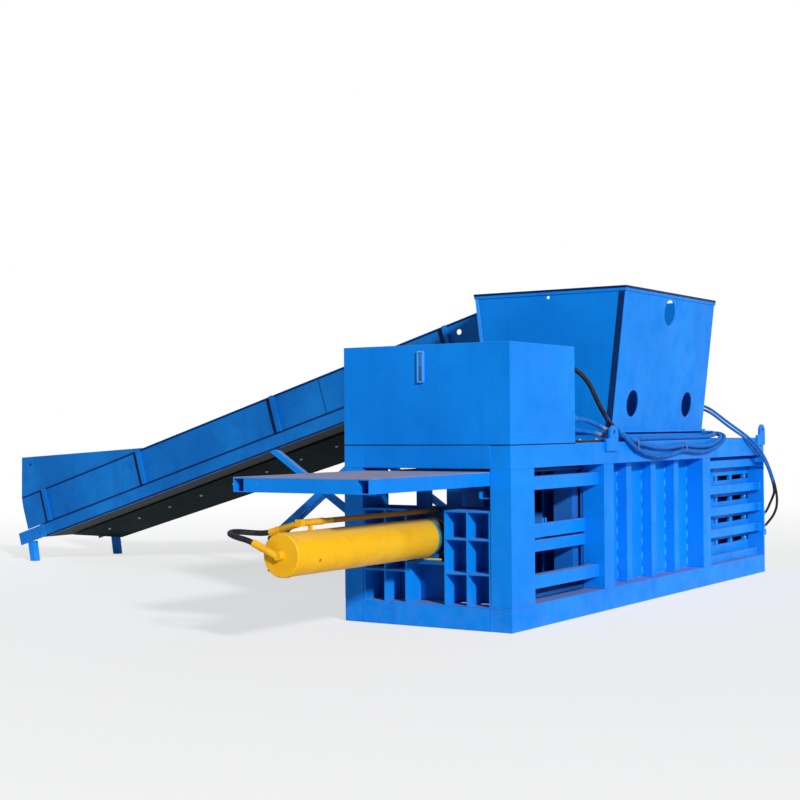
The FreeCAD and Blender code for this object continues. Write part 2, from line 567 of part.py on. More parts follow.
def tank_and_pump():
    """Oil tank over the cylinder end, with the pump set behind it on the frame."""
    keep(block("0", "0", "frame_height", "tank_length", "frame_width", "tank_height"), "oil_tank")
    gauge_z = "frame_height + gauge_rise"
    gauge = block("0 - gauge_depth", "gauge_y", gauge_z, "gauge_depth", "gauge_width", "gauge_height")
    window = block("0 - gauge_depth", "gauge_y + gauge_width / 4", f"{gauge_z} + gauge_width / 2",
                   "gauge_depth / 3", "gauge_width / 2", "gauge_height - gauge_width")
    keep(cut(gauge, [window]), "oil_level_gauge")
    tank_top = "(frame_height + tank_height)"
    neck = rod("tank_length / 4", "frame_width * 0.7", tank_top, "breather_radius * 0.7",
               "breather_neck", "z")
    cap = rod("tank_length / 4", "frame_width * 0.7", f"{tank_top} + breather_neck",
              "breather_radius", "breather_height", "z")
    keep(fused([neck, cap]), "filler_breather")

    motor = rod("motor_x", "motor_y", MOTOR_Z, "motor_radius", "motor_length", "y")
    foot = block("motor_x - motor_radius", "motor_y + pump_foot", "frame_height + pump_plate",
                 "2 * motor_radius", "motor_length - 2 * pump_foot", f"{MOTOR_Z} - frame_height - pump_plate")
    box = block("motor_x - terminal_box / 2", "motor_y + terminal_box", MOTOR_Z, "terminal_box",
                "terminal_box * 4 / 3", "motor_radius + terminal_rise")
    base = block("motor_x - motor_radius - pump_foot", "pump_plate_inset", "frame_height",
                 "2 * (motor_radius + pump_foot)", "frame_width - 2 * pump_plate_inset", "pump_plate")
    group("pump_motor", [fused([motor, foot, box]), base])
    pump = rod("motor_x", "motor_y + motor_length", MOTOR_Z, "pump_radius", "pump_length", "y")
    keep(pump, "hydraulic_pump")
    outlet_x = "(hopper_x + hopper_length + outlet_block_gap)"
    fittings = [block("tank_length", "pump_block_y", PUMP_BLOCK_Z, "pump_block_length",
                      "pump_block_width", "pump_block_height"),
                block(outlet_x, "outlet_block_y", "frame_height", "outlet_block_length",
                      "outlet_block_width", "outlet_block_height"),
                rod("tank_length + pump_block_length", "pump_block_y + pump_block_width / 2",
                    f"{PUMP_BLOCK_Z} + pump_block_height * 0.6", "ferrule_radius", "ferrule_length", "x")]
    for route in SIDE_HOSES[1:]:
        fittings.append(rod("tank_length", route[0][1], f"frame_height + {route[0][2]}", "ferrule_radius",
                            "ferrule_length", "x"))
    for step in range(3):
        fittings.append(rod(f"{outlet_x} + outlet_port_inset + {step} * outlet_port_pitch",
                            "outlet_block_y - ferrule_length", "frame_height + outlet_port_rise",
                            "ferrule_radius", "ferrule_length", "y"))
    for step in range(2):
        fittings.append(rod(f"{outlet_x} + outlet_port_pitch + {step} * lock_port_pitch",
                            "outlet_block_y + lock_port_inset",
                            "frame_height + outlet_block_height", "lock_ferrule_radius",
                            "lock_ferrule_length", "z"))
    group("valve_blocks", fittings)


def hopper():
    """Hopper whose long walls flare outward, on a collar over the throat."""
    tall = f"({HOPPER_TOP} - {HOPPER_BASE})"
    lean = "(hopper_inset - hopper_top_inset)"
    far = "frame_width"
    end_outline = [("hopper_inset", HOPPER_BASE), (f"{far} - hopper_inset", HOPPER_BASE),
                   (f"{far} - hopper_top_inset", HOPPER_TOP), ("hopper_top_inset", HOPPER_TOP)]
    inner_x = "hopper_x + hopper_plate"
    ends = []
    for x, holes in (("hopper_x", [(CENTRE_Y, f"{HOPPER_TOP} - 68", "14")]),
                     ("hopper_x + hopper_length - hopper_plate", [])):
        plate = profile("YZ_Plane", end_outline, "hopper_plate", holes)
        ends.append(place(plate, x, "0", "0"))
    group("hopper_end_walls", ends)

    slab_outline = [("hopper_inset", HOPPER_BASE), ("hopper_inset + hopper_plate", HOPPER_BASE),
                    ("hopper_top_inset + hopper_plate", HOPPER_TOP), ("hopper_top_inset", HOPPER_TOP)]
    far_outline = [(f"{far} - ({y})", z) for y, z in slab_outline]
    inside = "hopper_length - 2 * hopper_plate"
    near = place(profile("YZ_Plane", slab_outline, inside), inner_x, "0", "0")
    hole_tools = [rod(f"hopper_x + {x}", "0 - hopper_inset", f"{HOPPER_BASE} + {rise}",
                      "hopper_hole_radius", "3 * hopper_inset", "y") for x, rise in HOPPER_HOLES]
    fall = "tan(conveyor_slope)"
    flare = f"({lean} / {tall})"
    wall_run = f"({far} - hopper_inset - {flare} * {HOPPER_BASE} - conveyor_head_y)"
    notch_low = f"(({HEAD_Z} - {wall_run} * {fall}) / (1 + {flare} * {fall}) - notch_gap)"
    notch_inset = f"(hopper_inset - {flare} * ({notch_low} - {HOPPER_BASE}))"
    sill_outline = slab_outline[:2] + [(f"{notch_inset} + hopper_plate", notch_low), (notch_inset, notch_low)]
    sill_outline = [(f"{far} - ({y})", z) for y, z in sill_outline]
    notch_start = "(conveyor_x - notch_margin)"
    notch_end = "(conveyor_x + conveyor_width + notch_margin)"
    walls = [cut(near, hole_tools)]
    for outline, start, end in ((far_outline, f"({inner_x})", notch_start),
                                (sill_outline, notch_start, notch_end),
                                (far_outline, notch_end, f"({inner_x} + {inside})")):
        walls.append(place(profile("YZ_Plane", outline, f"{end} - {start}"), start, "0", "0"))
    group("hopper_side_walls", walls)

    collar = []
    for out, low, height in (("collar_foot", "frame_height", "collar_drop"),
                             ("0", "frame_height + collar_drop", "collar_height - 2 * collar_drop"),
                             ("collar_lip", f"{HOPPER_BASE} - collar_drop", "collar_drop")):
        depth = f"({out} + hopper_plate)"
        collar += twin_blocks(f"hopper_x - {out}", f"hopper_inset - {out}", low,
                              f"hopper_length + 2 * {out}", depth, height)
        for x in (f"hopper_x - {out}", "hopper_x + hopper_length - hopper_plate"):
            collar.append(block(x, "hopper_inset + hopper_plate", low, depth,
                                "frame_width - 2 * (hopper_inset + hopper_plate)", height))
    group("hopper_collar", collar)

    rim_low = f"({HOPPER_TOP} - rim_height)"
    outer = f"(hopper_top_inset + {lean} * rim_height / {tall})"
    rim = []
    for x in ("hopper_x - rim_plate", "hopper_x + hopper_length"):
        rim.append(block(x, outer, rim_low, "rim_plate", f"{far} - 2 * {outer}", "rim_height"))
    rim_outline = [(f"{outer} - rim_plate", rim_low), (outer, rim_low), ("hopper_top_inset", HOPPER_TOP),
                   ("hopper_top_inset - rim_plate", HOPPER_TOP)]
    far_rim = [(f"{far} - ({y})", z) for y, z in rim_outline]
    rim_x = "(hopper_x - rim_plate)"
    full = "(hopper_length + 2 * rim_plate)"
    rim.append(place(profile("YZ_Plane", rim_outline, full), rim_x, "0", "0"))
    rim.append(place(profile("YZ_Plane", far_rim, f"{notch_start} - {rim_x}"), rim_x, "0", "0"))
    rim.append(place(profile("YZ_Plane", far_rim, f"{rim_x} + {full} - {notch_end}"), notch_end, "0", "0"))
    group("hopper_rim", rim)


def door():
    """Slotted discharge door with latch pins at its near edge; gives back its fixed hinge leaves."""
    start = "(frame_length + door_gap)"
    near_edge = f"({WALL_INNER} - door_margin)"
    width = f"(frame_width - 2 * {near_edge})"
    low = "(beam_size + hinge_play)"
    tall = f"(frame_height - beam_size / 2 - {low})"
    slot_y = f"({WALL_INNER} + ram_side_gap)"
    edges = [low]
    for step in range(SLOTS):
        edges += [f"(slot_low + slot_pitch * {step})", f"(slot_low + slot_pitch * {step} + slot_height)"]
    edges.append(f"({low} + {tall})")
    parts = []
    for floor, top in zip(edges[0::2], edges[1::2]):
        parts.append(block(start, near_edge, floor, "door_plate", width, f"{top} - {floor}"))
    for floor, top in zip(edges[1:-1:2], edges[2:-1:2]):
        parts += twin_blocks(start, near_edge, floor, "door_plate", f"{slot_y} - {near_edge}",
                             f"{top} - {floor}")
    rib_x = f"({start} + door_plate)"
    bay = f"(({width} - 4 * door_rib) / 3)"
    for step in range(4):
        y = f"{near_edge} + {step} * ({bay} + door_rib)"
        parts.append(block(rib_x, y, low, "door_rib", "door_rib", tall))
    for step in range(3):
        y = f"{near_edge} + door_rib + {step} * ({bay} + door_rib)"
        for z in (low, f"{low} + {tall} - door_rib"):
            parts.append(block(rib_x, y, z, "door_rib", bay, "door_rib"))
    eye_x = "(frame_length + hinge_out)"
    eye_y = "(frame_width - hinge_inset)"
    eye_radius = "(hinge_pin_radius + hinge_eye_wall)"
    edge_y = f"(frame_width - {near_edge})"
    for z in ("hinge_low", "hinge_high"):
        leaf_z = f"{z} + hinge_leaf + hinge_play"
        eye = rod(eye_x, eye_y, leaf_z, eye_radius, "hinge_leaf", "z")
        arm = block(f"{eye_x} - {eye_radius}", edge_y, leaf_z, f"2 * {eye_radius}",
                    f"{eye_y} - {edge_y}", "hinge_leaf")
        bore = rod(eye_x, eye_y, leaf_z, "hinge_pin_radius + fit_clearance", "hinge_leaf", "z")
        parts.append(cut(fused([eye, arm]), [bore]))
    pin_y = "(lock_bar_inset + lock_bar_width / 2 - hook_plate / 2)"
    for z in ("latch_low", "latch_high"):
        parts.append(rod("frame_length + latch_out", pin_y, z, "latch_pin_radius",
                         f"{near_edge} - {pin_y}", "y"))
    group("discharge_door", parts)

    leaves = []
    pin_rods = [rod(RELEASE_PIN_X, y, "beam_size", "release_pin_radius", POST_TALL, "z")
                for y in (WALL_MIDDLE, f"frame_width - {WALL_MIDDLE}")]
    for z in ("hinge_low", "hinge_high"):
        for lift in ("0", "2 * (hinge_leaf + hinge_play)"):
            leaf_z = f"{z} + {lift}"
            eye = rod(eye_x, eye_y, leaf_z, eye_radius, "hinge_leaf", "z")
            leaf = block("frame_length", f"{eye_y} - {eye_radius}", leaf_z, "hinge_out",
                         f"2 * {eye_radius}", "hinge_leaf")
            bore = rod(eye_x, eye_y, leaf_z, "hinge_pin_radius", "hinge_leaf", "z")
            leaves.append(cut(fused([eye, leaf]), [bore]))
        pin_rods.append(rod(eye_x, eye_y, z, "hinge_pin_radius", "3 * hinge_leaf + 2 * hinge_play", "z"))
    group("hinge_pins", pin_rods)
    return leaves


def door_lock(leaves):
    """Sliding bar with two hooks, lifted by a small cylinder to catch the door's latch pins."""
    bar_x = "(frame_length + lock_gap)"
    bar_front = f"({bar_x} + lock_bar_plate)"
    middle_y = "(lock_bar_inset + lock_bar_width / 2)"
    parts = [block(bar_x, "lock_bar_inset", "lock_bar_low", "lock_bar_plate", "lock_bar_width",
                   "lock_bar_length")]
    pin_x = "(frame_length + latch_out)"
    for z in ("latch_low", "latch_high"):
        seat = f"({z} - latch_pin_radius - 1 - lock_stroke)"
        tip = f"({pin_x} + latch_pin_radius + 5)"
        parts.append(block(bar_front, f"{middle_y} - hook_plate / 2", f"{seat} - hook_seat",
                           f"{tip} + lock_bar_plate - {bar_front}", "hook_plate", "hook_seat"))
        parts.append(block(tip, f"{middle_y} - hook_plate / 2", seat, "lock_bar_plate", "hook_plate",
                           "hook_lip"))
    cylinder_x = "(frame_length + lock_cylinder_out)"
    parts.append(block(bar_front, f"{middle_y} - 25", LOCK_ROD_TOP,
                       f"{cylinder_x} + 30 - {bar_front}", "50", "hook_seat"))
    keep(fused(parts), "door_lock_bar")

    rod_low = f"{LOCK_Z} + 40"
    rod_parts = [rod(cylinder_x, middle_y, rod_low, "lock_rod_radius", f"{LOCK_ROD_TOP} - ({rod_low})", "z"),
                 rod(cylinder_x, middle_y, rod_low, "lock_bore_radius - seal_clearance", "30", "z")]
    keep(fused(rod_parts), "lock_cylinder_rod")

    body = rod(cylinder_x, middle_y, LOCK_Z, "lock_cylinder_radius", "lock_cylinder_length", "z")
    ports = [rod(f"{cylinder_x} + lock_bore_radius + 5", middle_y, z, "lock_ferrule_radius",
                 "lock_cylinder_radius - lock_bore_radius + 7", "x")
             for z in (f"{LOCK_Z} + 25", f"{LOCK_Z} + 160")]
    bore = rod(cylinder_x, middle_y, f"{LOCK_Z} + 30", "lock_bore_radius",
               "lock_cylinder_length - 50", "z")
    throat = rod(cylinder_x, middle_y, f"{LOCK_Z} + 100", "lock_rod_radius + fit_clearance",
                 "lock_cylinder_length", "z")
    keep(cut(fused([body] + ports), [bore, throat]), "lock_cylinder")

    shelf_reach = f"{cylinder_x} + lock_cylinder_radius - frame_length"
    brackets = []
    for y in ("lock_bar_inset - 12", "lock_bar_inset + lock_bar_width + 2"):
        brackets.append(block("frame_length", y, f"{LOCK_Z} - 60", shelf_reach, "10", "60"))
    brackets.append(block(f"{bar_front} + 2", "lock_bar_inset - 12", f"{LOCK_Z} - 20",
                          f"{shelf_reach} - lock_gap - lock_bar_plate - 2", "lock_bar_width + 24", "20"))
    keepers = [fused(brackets)]
    for z in (f"{LOCK_Z} + 130", f"{LOCK_Z} + 450"):
        sides = [block("frame_length", y, z, "lock_gap + lock_bar_plate + 1", "9", "40")
                 for y in ("lock_bar_inset - 9.5", "lock_bar_inset + lock_bar_width + 0.5")]
        strap = block(f"{bar_front} + 0.5", "lock_bar_inset - 9.5", z, "5", "lock_bar_width + 19", "40")
        keepers.append(fused(sides + [strap]))
    group("outlet_brackets", leaves + keepers)


def on_slope(thing):
    """Lay a piece drawn on level ground along the conveyor's slope, falling away from its head."""
    thing.Placement = Placement(Vector(), Rotation(Vector(1, 0, 0), -size("conveyor_slope")))
    thing.setExpression("Placement.Rotation.Angle", formula("0 - conveyor_slope"))
    return place(thing, "conveyor_x", "conveyor_head_y", HEAD_Z)


def inclined(thing, label):
    return keep(on_slope(thing), label)


def level_block(x, y, z, length, width, height):
    thing = bind(doc.addObject("Part::Box", "Block"), Length=length, Width=width, Height=height)
    return bind(thing, Placement__Base__x=x, Placement__Base__y=y, Placement__Base__z=z)


def level_rod(x, y, z, radius, length, axis="x"):
    thing = doc.addObject("Part::Cylinder", "Rod")
    thing.Placement = Placement(Vector(), AXIS_TURNS[axis])
    bind(thing, Radius=radius, Height=length)
    return bind(thing, Placement__Base__x=x, Placement__Base__y=y, Placement__Base__z=z)


def level_group(label, things):
    """Separate solids drawn on level ground and laid on the slope as one piece."""
    made = doc.addObject("Part::Compound", "Group")
    made.Links = things
    return inclined(made, label)


def conveyor():
    """Cleated belt conveyor; its own y runs down the slope from the head, z square to the belt."""
    sides = []
    for far in (False, True):
        x = "conveyor_width - chassis_flange" if far else "0"
        web_x = "conveyor_width - chassis_web" if far else "0"
        web = level_block(web_x, "0", "0", "chassis_web", "chassis_length", "chassis_height")
        if far:
            web = cut(web, [level_rod(web_x, "head_drum_y", "drum_z", "drum_shaft_radius + 2", "chassis_web")])
        sides.append(web)
        flange_x = x if far else "chassis_web"
        for z in ("0", "chassis_height - chassis_web"):
            sides.append(level_block(flange_x, "0", z, "chassis_flange - chassis_web", "chassis_length",
                                     "chassis_web"))
    level_group("conveyor_chassis", sides)
    level_group("conveyor_side_guards", guard_wall(False) + guard_wall(True))
    level_group("conveyor_belt", belt())

    bed_z = "(drum_z + drum_radius + belt_gap - 0.5)"
    bed_x = "(guard_plate + 1)"
    bed_start = "(head_drum_y + 1.5 * drum_radius)"
    bed_long = f"(chassis_length - {bed_start} - 1.5 * drum_radius)"
    bed = [level_block(bed_x, bed_start, f"{bed_z} - bed_plate", f"conveyor_width - 2 * {bed_x}", bed_long,
                       "bed_plate")]
    for x in (bed_x, f"conveyor_width - {bed_x} - bed_strip"):
        bed.append(level_block(x, bed_start, "chassis_height", "bed_strip", bed_long,
                               f"{bed_z} - bed_plate - chassis_height"))
    level_group("belt_slider_bed", bed)

    face_x = "(chassis_flange + belt_edge_gap)"
    for y, label, reach in (("head_drum_y", "head_drum", "gearbox_size * 0.4 + chassis_web"),
                            ("tail_drum_y", "tail_drum", "0")):
        drum = level_rod(face_x, y, "drum_z", "drum_radius", f"conveyor_width - 2 * {face_x}")
        shaft_x = "(chassis_web + 6)"
        shaft = level_rod(shaft_x, y, "drum_z", "drum_shaft_radius",
                          f"conveyor_width - 2 * {shaft_x} + ({reach}) + " + ("6" if reach != "0" else "0"))
        inclined(fused([drum, shaft]), label)
    drum_bearings()
    under_pan()
    gearbox_y = "head_drum_y - gearbox_size / 2"
    gearbox = level_block("conveyor_width", gearbox_y, "drum_z - gearbox_size / 2", "gearbox_depth",
                          "gearbox_size", "gearbox_size")
    shaft_hole = level_rod("conveyor_width", "head_drum_y", "drum_z", "drum_shaft_radius + fit_clearance",
                           "gearbox_size * 0.4 + 8")
    motor = level_rod("conveyor_width + gearbox_depth / 2", f"{gearbox_y} + gearbox_size", "drum_z",
                      "drive_motor_radius", "drive_motor_length", "y")
    level_group("conveyor_gearmotor", [cut(gearbox, [shaft_hole]), motor])
    conveyor_supports()


def drum_bearings():
    """Bearing blocks inside the channels at the head, and on take-up plates past them at the tail."""
    size_y = "bearing_size / 2"
    parts = []
    for far in (False, True):
        depth = "(chassis_flange - chassis_web)"
        x = f"conveyor_width - chassis_web - {depth}" if far else "chassis_web"
        for y in ("head_drum_y", "tail_drum_y"):
            housing = level_block(x, f"{y} - {size_y}", f"drum_z - {size_y}", depth, "bearing_size",
                                  "bearing_size")
            bore = level_rod(x, y, "drum_z", "drum_shaft_radius + fit_clearance", depth)
            parts.append(cut(housing, [bore]))
        plate_x = "conveyor_width - chassis_web" if far else "chassis_web - take_up_plate"
        parts.append(level_block(plate_x, "chassis_length", "0", "take_up_plate",
                                 "take_up_length", "chassis_height - chassis_web"))
    level_group("drum_bearings", parts)


def under_pan():
    """Pan under the belt, falling away from the middle to a skirt on the far side."""
    start = "(pan_end - pan_length)"
    sketches = []
    for y, drop in ((start, "pan_head_drop"), ("pan_end", "pan_tail_drop")):
        sketch = doc.addObject("Sketcher::SketchObject", "PanSection")
        sketch.Placement = Placement(Vector(), Rotation(Vector(1, 0, 0), 90))
        corners = [("pan_x", "0 - pan_plate"), ("conveyor_width - pan_plate", f"0 - {drop} - pan_plate"),
                   ("conveyor_width - pan_plate", f"0 - {drop}"), ("pan_x", "0")]
        ring = [Vector(900, 0, 0), Vector(0, 900, 0), Vector(-900, 0, 0), Vector(0, -900, 0)]
        for step in range(4):
            sketch.addGeometry(Part.LineSegment(ring[step], ring[(step + 1) % 4]), False)
        for step in range(4):
            sketch.addConstraint(Sketcher.Constraint("Coincident", step, 2, (step + 1) % 4, 1))
        for step, (across, up) in enumerate(corners):
            pin_point(sketch, step, 1, f"corner{step}", across, up, ring[step])
        bind(sketch, Placement__Base__y=y)
        sketches.append(sketch)
    pan = doc.addObject("Part::Loft", "Pan")
    pan.Sections = sketches
    pan.Solid = True
    pan.Ruled = True
    skirt_outline = [(start, "0"), (start, "0 - pan_head_drop - pan_plate"),
                     ("pan_end", "0 - pan_tail_drop - pan_plate"), ("pan_end", "0")]
    skirt = profile("YZ_Plane", skirt_outline, "pan_plate")
    bind(skirt, Placement__Base__x="conveyor_width - pan_plate")
    level_group("conveyor_under_pan", [pan, skirt])


def strut(x, width, foot_y, foot_z, gradient, thickness, drop):
    """A straight tube from a foot up to the conveyor's underside, cut to lie flat against it.

    Its gradient is height over y, positive where it climbs away from the press, and the drop is
    how far below the chassis it stops.
    """
    fall = "tan(conveyor_slope)"
    line = f"({HEAD_Z} - ({drop}) / cos(conveyor_slope) + conveyor_head_y * {fall})"
    wide = f"({thickness} * sqrt(1 + ({gradient})^2) / abs({gradient}))"
    starts = (f"({foot_y})", f"(({foot_y}) + {wide})")
    tops = [f"(({line} - ({foot_z}) + ({gradient}) * {start}) / (({gradient}) + {fall}))" for start in starts]
    outline = [(starts[0], foot_z), (starts[1], foot_z), (tops[1], f"{line} - {tops[1]} * {fall}"),
               (tops[0], f"{line} - {tops[0]} * {fall}")]
    return place(profile("YZ_Plane", outline, width), x, "0", "0")


def conveyor_supports():
    """Two tail legs, a long prop on each side and a steep double brace on a foot post."""
    parts = []
    fall = "tan(conveyor_slope)"
    level = f"({HEAD_Z} + conveyor_head_y * {fall})"
    for x, y in (("conveyor_x", "near_leg_y"), ("conveyor_x + conveyor_width - leg_size", "far_leg_y")):
        corners = [(y, "0"), (f"{y} + leg_size", "0")]
        for foot in (f"({y} + leg_size + leg_lean)", f"({y} + leg_lean)"):
            corners.append((foot, f"{level} - {foot} * {fall}"))
        parts.append(place(profile("YZ_Plane", corners, "leg_size"), x, "0", "0"))

    parts.append(strut("conveyor_x", "support_tube", "near_support_y", "0", "support_gradient",
                       "support_tube", "0"))
    parts.append(strut("conveyor_x + conveyor_width", "support_tube", "far_support_y", "0",
                       "support_gradient", "support_tube", "0 - chassis_height / 2"))
    foot_width = "support_tube * sqrt(1 + brace_gradient^2) / brace_gradient"
    for step in range(2):
        x = f"conveyor_x + brace_x + {step} * support_tube * 1.15"
        parts.append(strut(x, "support_tube", "brace_foot_y", "brace_foot_height", "0 - brace_gradient",
                           "support_tube", "support_tube"))
        parts.append(block(x, "brace_foot_y", "0", "support_tube", foot_width, "brace_foot_height"))
    beam = level_block("cross_beam_inset", "cross_beam_start", "0 - support_tube",
                       "conveyor_width - 2 * cross_beam_inset", "cross_beam_width", "support_tube")
    sloped = doc.addObject("Part::Compound", "Sloped")
    sloped.Links = [beam]
    parts.append(on_slope(sloped))
    group("conveyor_supports", parts)


def guard_wall(far):
    """Side guard: a strip on the chassis, uprights outside it and a raised board at the tail."""
    base = "chassis_height"
    top = f"({base} + guard_height)"
    x = "conveyor_width - guard_plate" if far else "0"
    strip = [("0", base), ("guard_length", base), (f"guard_length + guard_plate", f"{base} + board_foot"),
             (f"guard_length - guard_plate", top), ("0", top)]
    board = [("guard_length - board_length", top), (f"guard_length - guard_plate", top),
             ("guard_length - board_setback", f"{top} + board_rise")]
    parts = []
    for outline in (strip, board):
        parts.append(bind(profile("YZ_Plane", outline, "guard_plate"), Placement__Base__x=x))
    out = "conveyor_width" if far else "0 - upright_depth"
    for y in UPRIGHTS:
        parts.append(level_block(out, y, base, "upright_depth", "upright_width", "guard_height"))
    lip = "conveyor_width" if far else "0 - upright_depth / 2"
    stops = (0,) + UPRIGHTS
    for start, end in zip(stops, UPRIGHTS):
        low = f"{start} + upright_width" if start else "0"
        parts.append(level_block(lip, low, f"{top} - guard_plate", "upright_depth / 2", f"{end} - ({low})",
                                 "guard_plate"))
    return parts


def belt():
    """Endless belt round both drums, with cleats on its top run."""
    inner = "(drum_radius + belt_gap)"
    outer = "(drum_radius + belt_gap + belt_thickness)"
    x = "(chassis_flange + belt_edge_gap)"
    width = f"conveyor_width - 2 * {x}"
    span = "(tail_drum_y - head_drum_y)"
    parts = []
    for z in (f"drum_z + {inner}", f"drum_z - {outer}"):
        parts.append(level_block(x, "head_drum_y", z, width, span, "belt_thickness"))
    for y, side in (("head_drum_y", f"head_drum_y - {outer}"), ("tail_drum_y", "tail_drum_y")):
        ring = cut(level_rod(x, y, "drum_z", outer, width), [level_rod(x, y, "drum_z", inner, width)])
        half = doc.addObject("Part::Common", "Wrap")
        half.Base = ring
        half.Tool = level_block(x, side, f"drum_z - {outer}", width, outer, f"2 * {outer}")
        parts.append(half)
    for step in range(CLEATS):
        parts.append(level_block(f"{x} + belt_edge_gap", f"head_drum_y + {span} * ({step} + 0.5) / {CLEATS}",
                                 f"drum_z + {outer}", f"{width} - 2 * belt_edge_gap", "cleat_width",
                                 "cleat_height"))
    return parts


def tube(label, routes, alias, origin):
    """Hoses as straight runs joined by tangent arcs, through points measured from an origin.

    Each arc's radius is 0.45 of the shorter of its two runs over the tangent of half the turn.
    """
    radius = size(alias)
    solids = []
    tightest = 1e9
    for route in routes:
        points = [origin + Vector(*point) for point in route]
        edges = []
        at = points[0]
        for before, corner, after in zip(points, points[1:], points[2:]):
            reach = 0.45 * min(before.distanceToPoint(corner), corner.distanceToPoint(after))
            enter = (before - corner).normalize()
            leave = (after - corner).normalize()
            start = corner + enter * reach
            end = corner + leave * reach
            half_turn = (math.pi - enter.getAngle(leave)) / 2
            bend = reach / math.tan(half_turn)
            tightest = min(tightest, bend)
            inward = (enter + leave).normalize()
            middle = corner + inward * (bend / math.cos(half_turn) - bend)
            edges.append(Part.LineSegment(at, start).toShape())
            edges.append(Part.Arc(start, middle, end).toShape())
            at = end
        edges.append(Part.LineSegment(at, points[-1]).toShape())
        path = Part.Wire(edges)
        ring = Part.Wire(Part.makeCircle(radius, points[0], points[1] - points[0]))
        solid = path.makePipeShell([ring], True, False)
        share = solid.Volume / (math.pi * radius**2 * path.Length)
        print(f"{label}: length {path.Length:.0f}, volume over section x length {share:.4f}")
        solids.append(solid)
    print(f"{label}: tightest radius {tightest:.0f} on a {2 * radius:.0f} hose")
    piece = doc.addObject("Part::Feature", "Tube")
    piece.Shape = solids[0] if len(solids) == 1 else Part.makeCompound(solids)
    piece.Placement = Placement(Vector(-size("frame_length") / 2, -size("frame_width") / 2, 0), Rotation())
    return keep(piece, label)


def slanted(route, alias, origin):
    """A short fitting along a line between two points measured from an origin."""
    start, end = (origin + Vector(*point) for point in route)
    piece = doc.addObject("Part::Feature", "Fitting")
    piece.Shape = Part.makeCylinder(size(alias), start.distanceToPoint(end), start, end - start)
    piece.Placement = Placement(Vector(-size("frame_length") / 2, -size("frame_width") / 2, 0), Rotation())
    return piece


def cylinder_pipework():
    """Return pipe along the top of the barrel, and the limp hose that joins it to the end cap."""
    back = "(0 - barrel_back - end_cap_length - cap_port_length)"
    axis = Vector(0, size("frame_width") / 2, size("cylinder_z"))
    port = rod(back, CENTRE_Y, "cylinder_z", "cap_port_radius", "cap_port_length", "x")
    elbow_out = slanted([CAP_PORT_ELBOW, CAP_HOSE[0]], "ferrule_radius", axis)
    keep(fused([port, elbow_out]), "cap_port_fitting")
    tube("cap_hose", [CAP_HOSE], "hose_radius", axis)

    pipe = rod("0 - oil_pipe_back", CENTRE_Y, "oil_pipe_z", "oil_pipe_radius",
               "oil_pipe_back + oil_pipe_front", "x")
    end = "(0 - oil_pipe_back - oil_pipe_sleeve)"
    sleeve = rod(end, CENTRE_Y, "oil_pipe_z", "ferrule_radius", "oil_pipe_sleeve", "x")
    elbow = block(f"{end} - 2 * ferrule_radius", f"{CENTRE_Y} - ferrule_radius",
                  "oil_pipe_z - ferrule_radius",
                  "2 * ferrule_radius", "2 * ferrule_radius", "2 * ferrule_radius")
    fitting = slanted([PIPE_ELBOW, CAP_HOSE[-1]], "ferrule_radius", axis)
    barrel_top = "(cylinder_z + barrel_radius)"
    foot = block(f"{end} + oil_pipe_sleeve / 3", f"{CENTRE_Y} - ferrule_radius / 2", f"{barrel_top} - 1",
                 "ferrule_radius", "ferrule_radius", f"oil_pipe_z - {barrel_top}")
    bed = rod("0 - barrel_back", CENTRE_Y, "cylinder_z", "barrel_radius", "barrel_back", "x")
    sleeve_and_foot = cut(fused([sleeve, elbow, fitting, foot]), [bed])
    union = rod("oil_pipe_front", CENTRE_Y, "oil_pipe_z", "ferrule_radius",
                "bulkhead_x - oil_pipe_front", "x")
    group("oil_pipe", [pipe, sleeve_and_foot, union])


def hose_runs():
    """Oil hoses along the near side, the lock's two thin hoses, and the bands that tie the pair."""
    frame_top = Vector(0, 0, size("frame_height"))
    oil = tube("side_hoses", SIDE_HOSES, "hose_radius", frame_top)
    tube("lock_hoses", LOCK_HOSES, "lock_hose_radius", frame_top)
    bands = []
    for x, low, high in HOSE_TIES:
        bands.append(block(f"{x} - tie_width / 2", "0 - 2 * hose_radius - 4 * tie_margin",
                           f"frame_height + ({low}) - hose_radius - tie_margin", "tie_width",
                           "2 * hose_radius + 4 * tie_margin",
                           f"{high} - {low} + 2 * (hose_radius + tie_margin)"))
    ties = cut(fused(bands), [oil])
    keep(ties, "hose_ties")


# Cap hose points from the cylinder's axis, and where the two fittings that take its ends begin
CAP_HOSE = [
    (-1850, 135, 55), (-1862.8, 220, 95.4), (-1894, 306.6, 117.8), (-1865.3, 393.7, 134.4),
    (-1790.6, 445.8, 142.4), (-1698.5, 443.6, 139.4), (-1624.9, 385.3, 127.8), (-1590, 281.8, 125.6),
    (-1590, 197, 149)]
CAP_PORT_ELBOW = (-1832, 15, -2)
PIPE_ELBOW = (-1590, 12, 200)
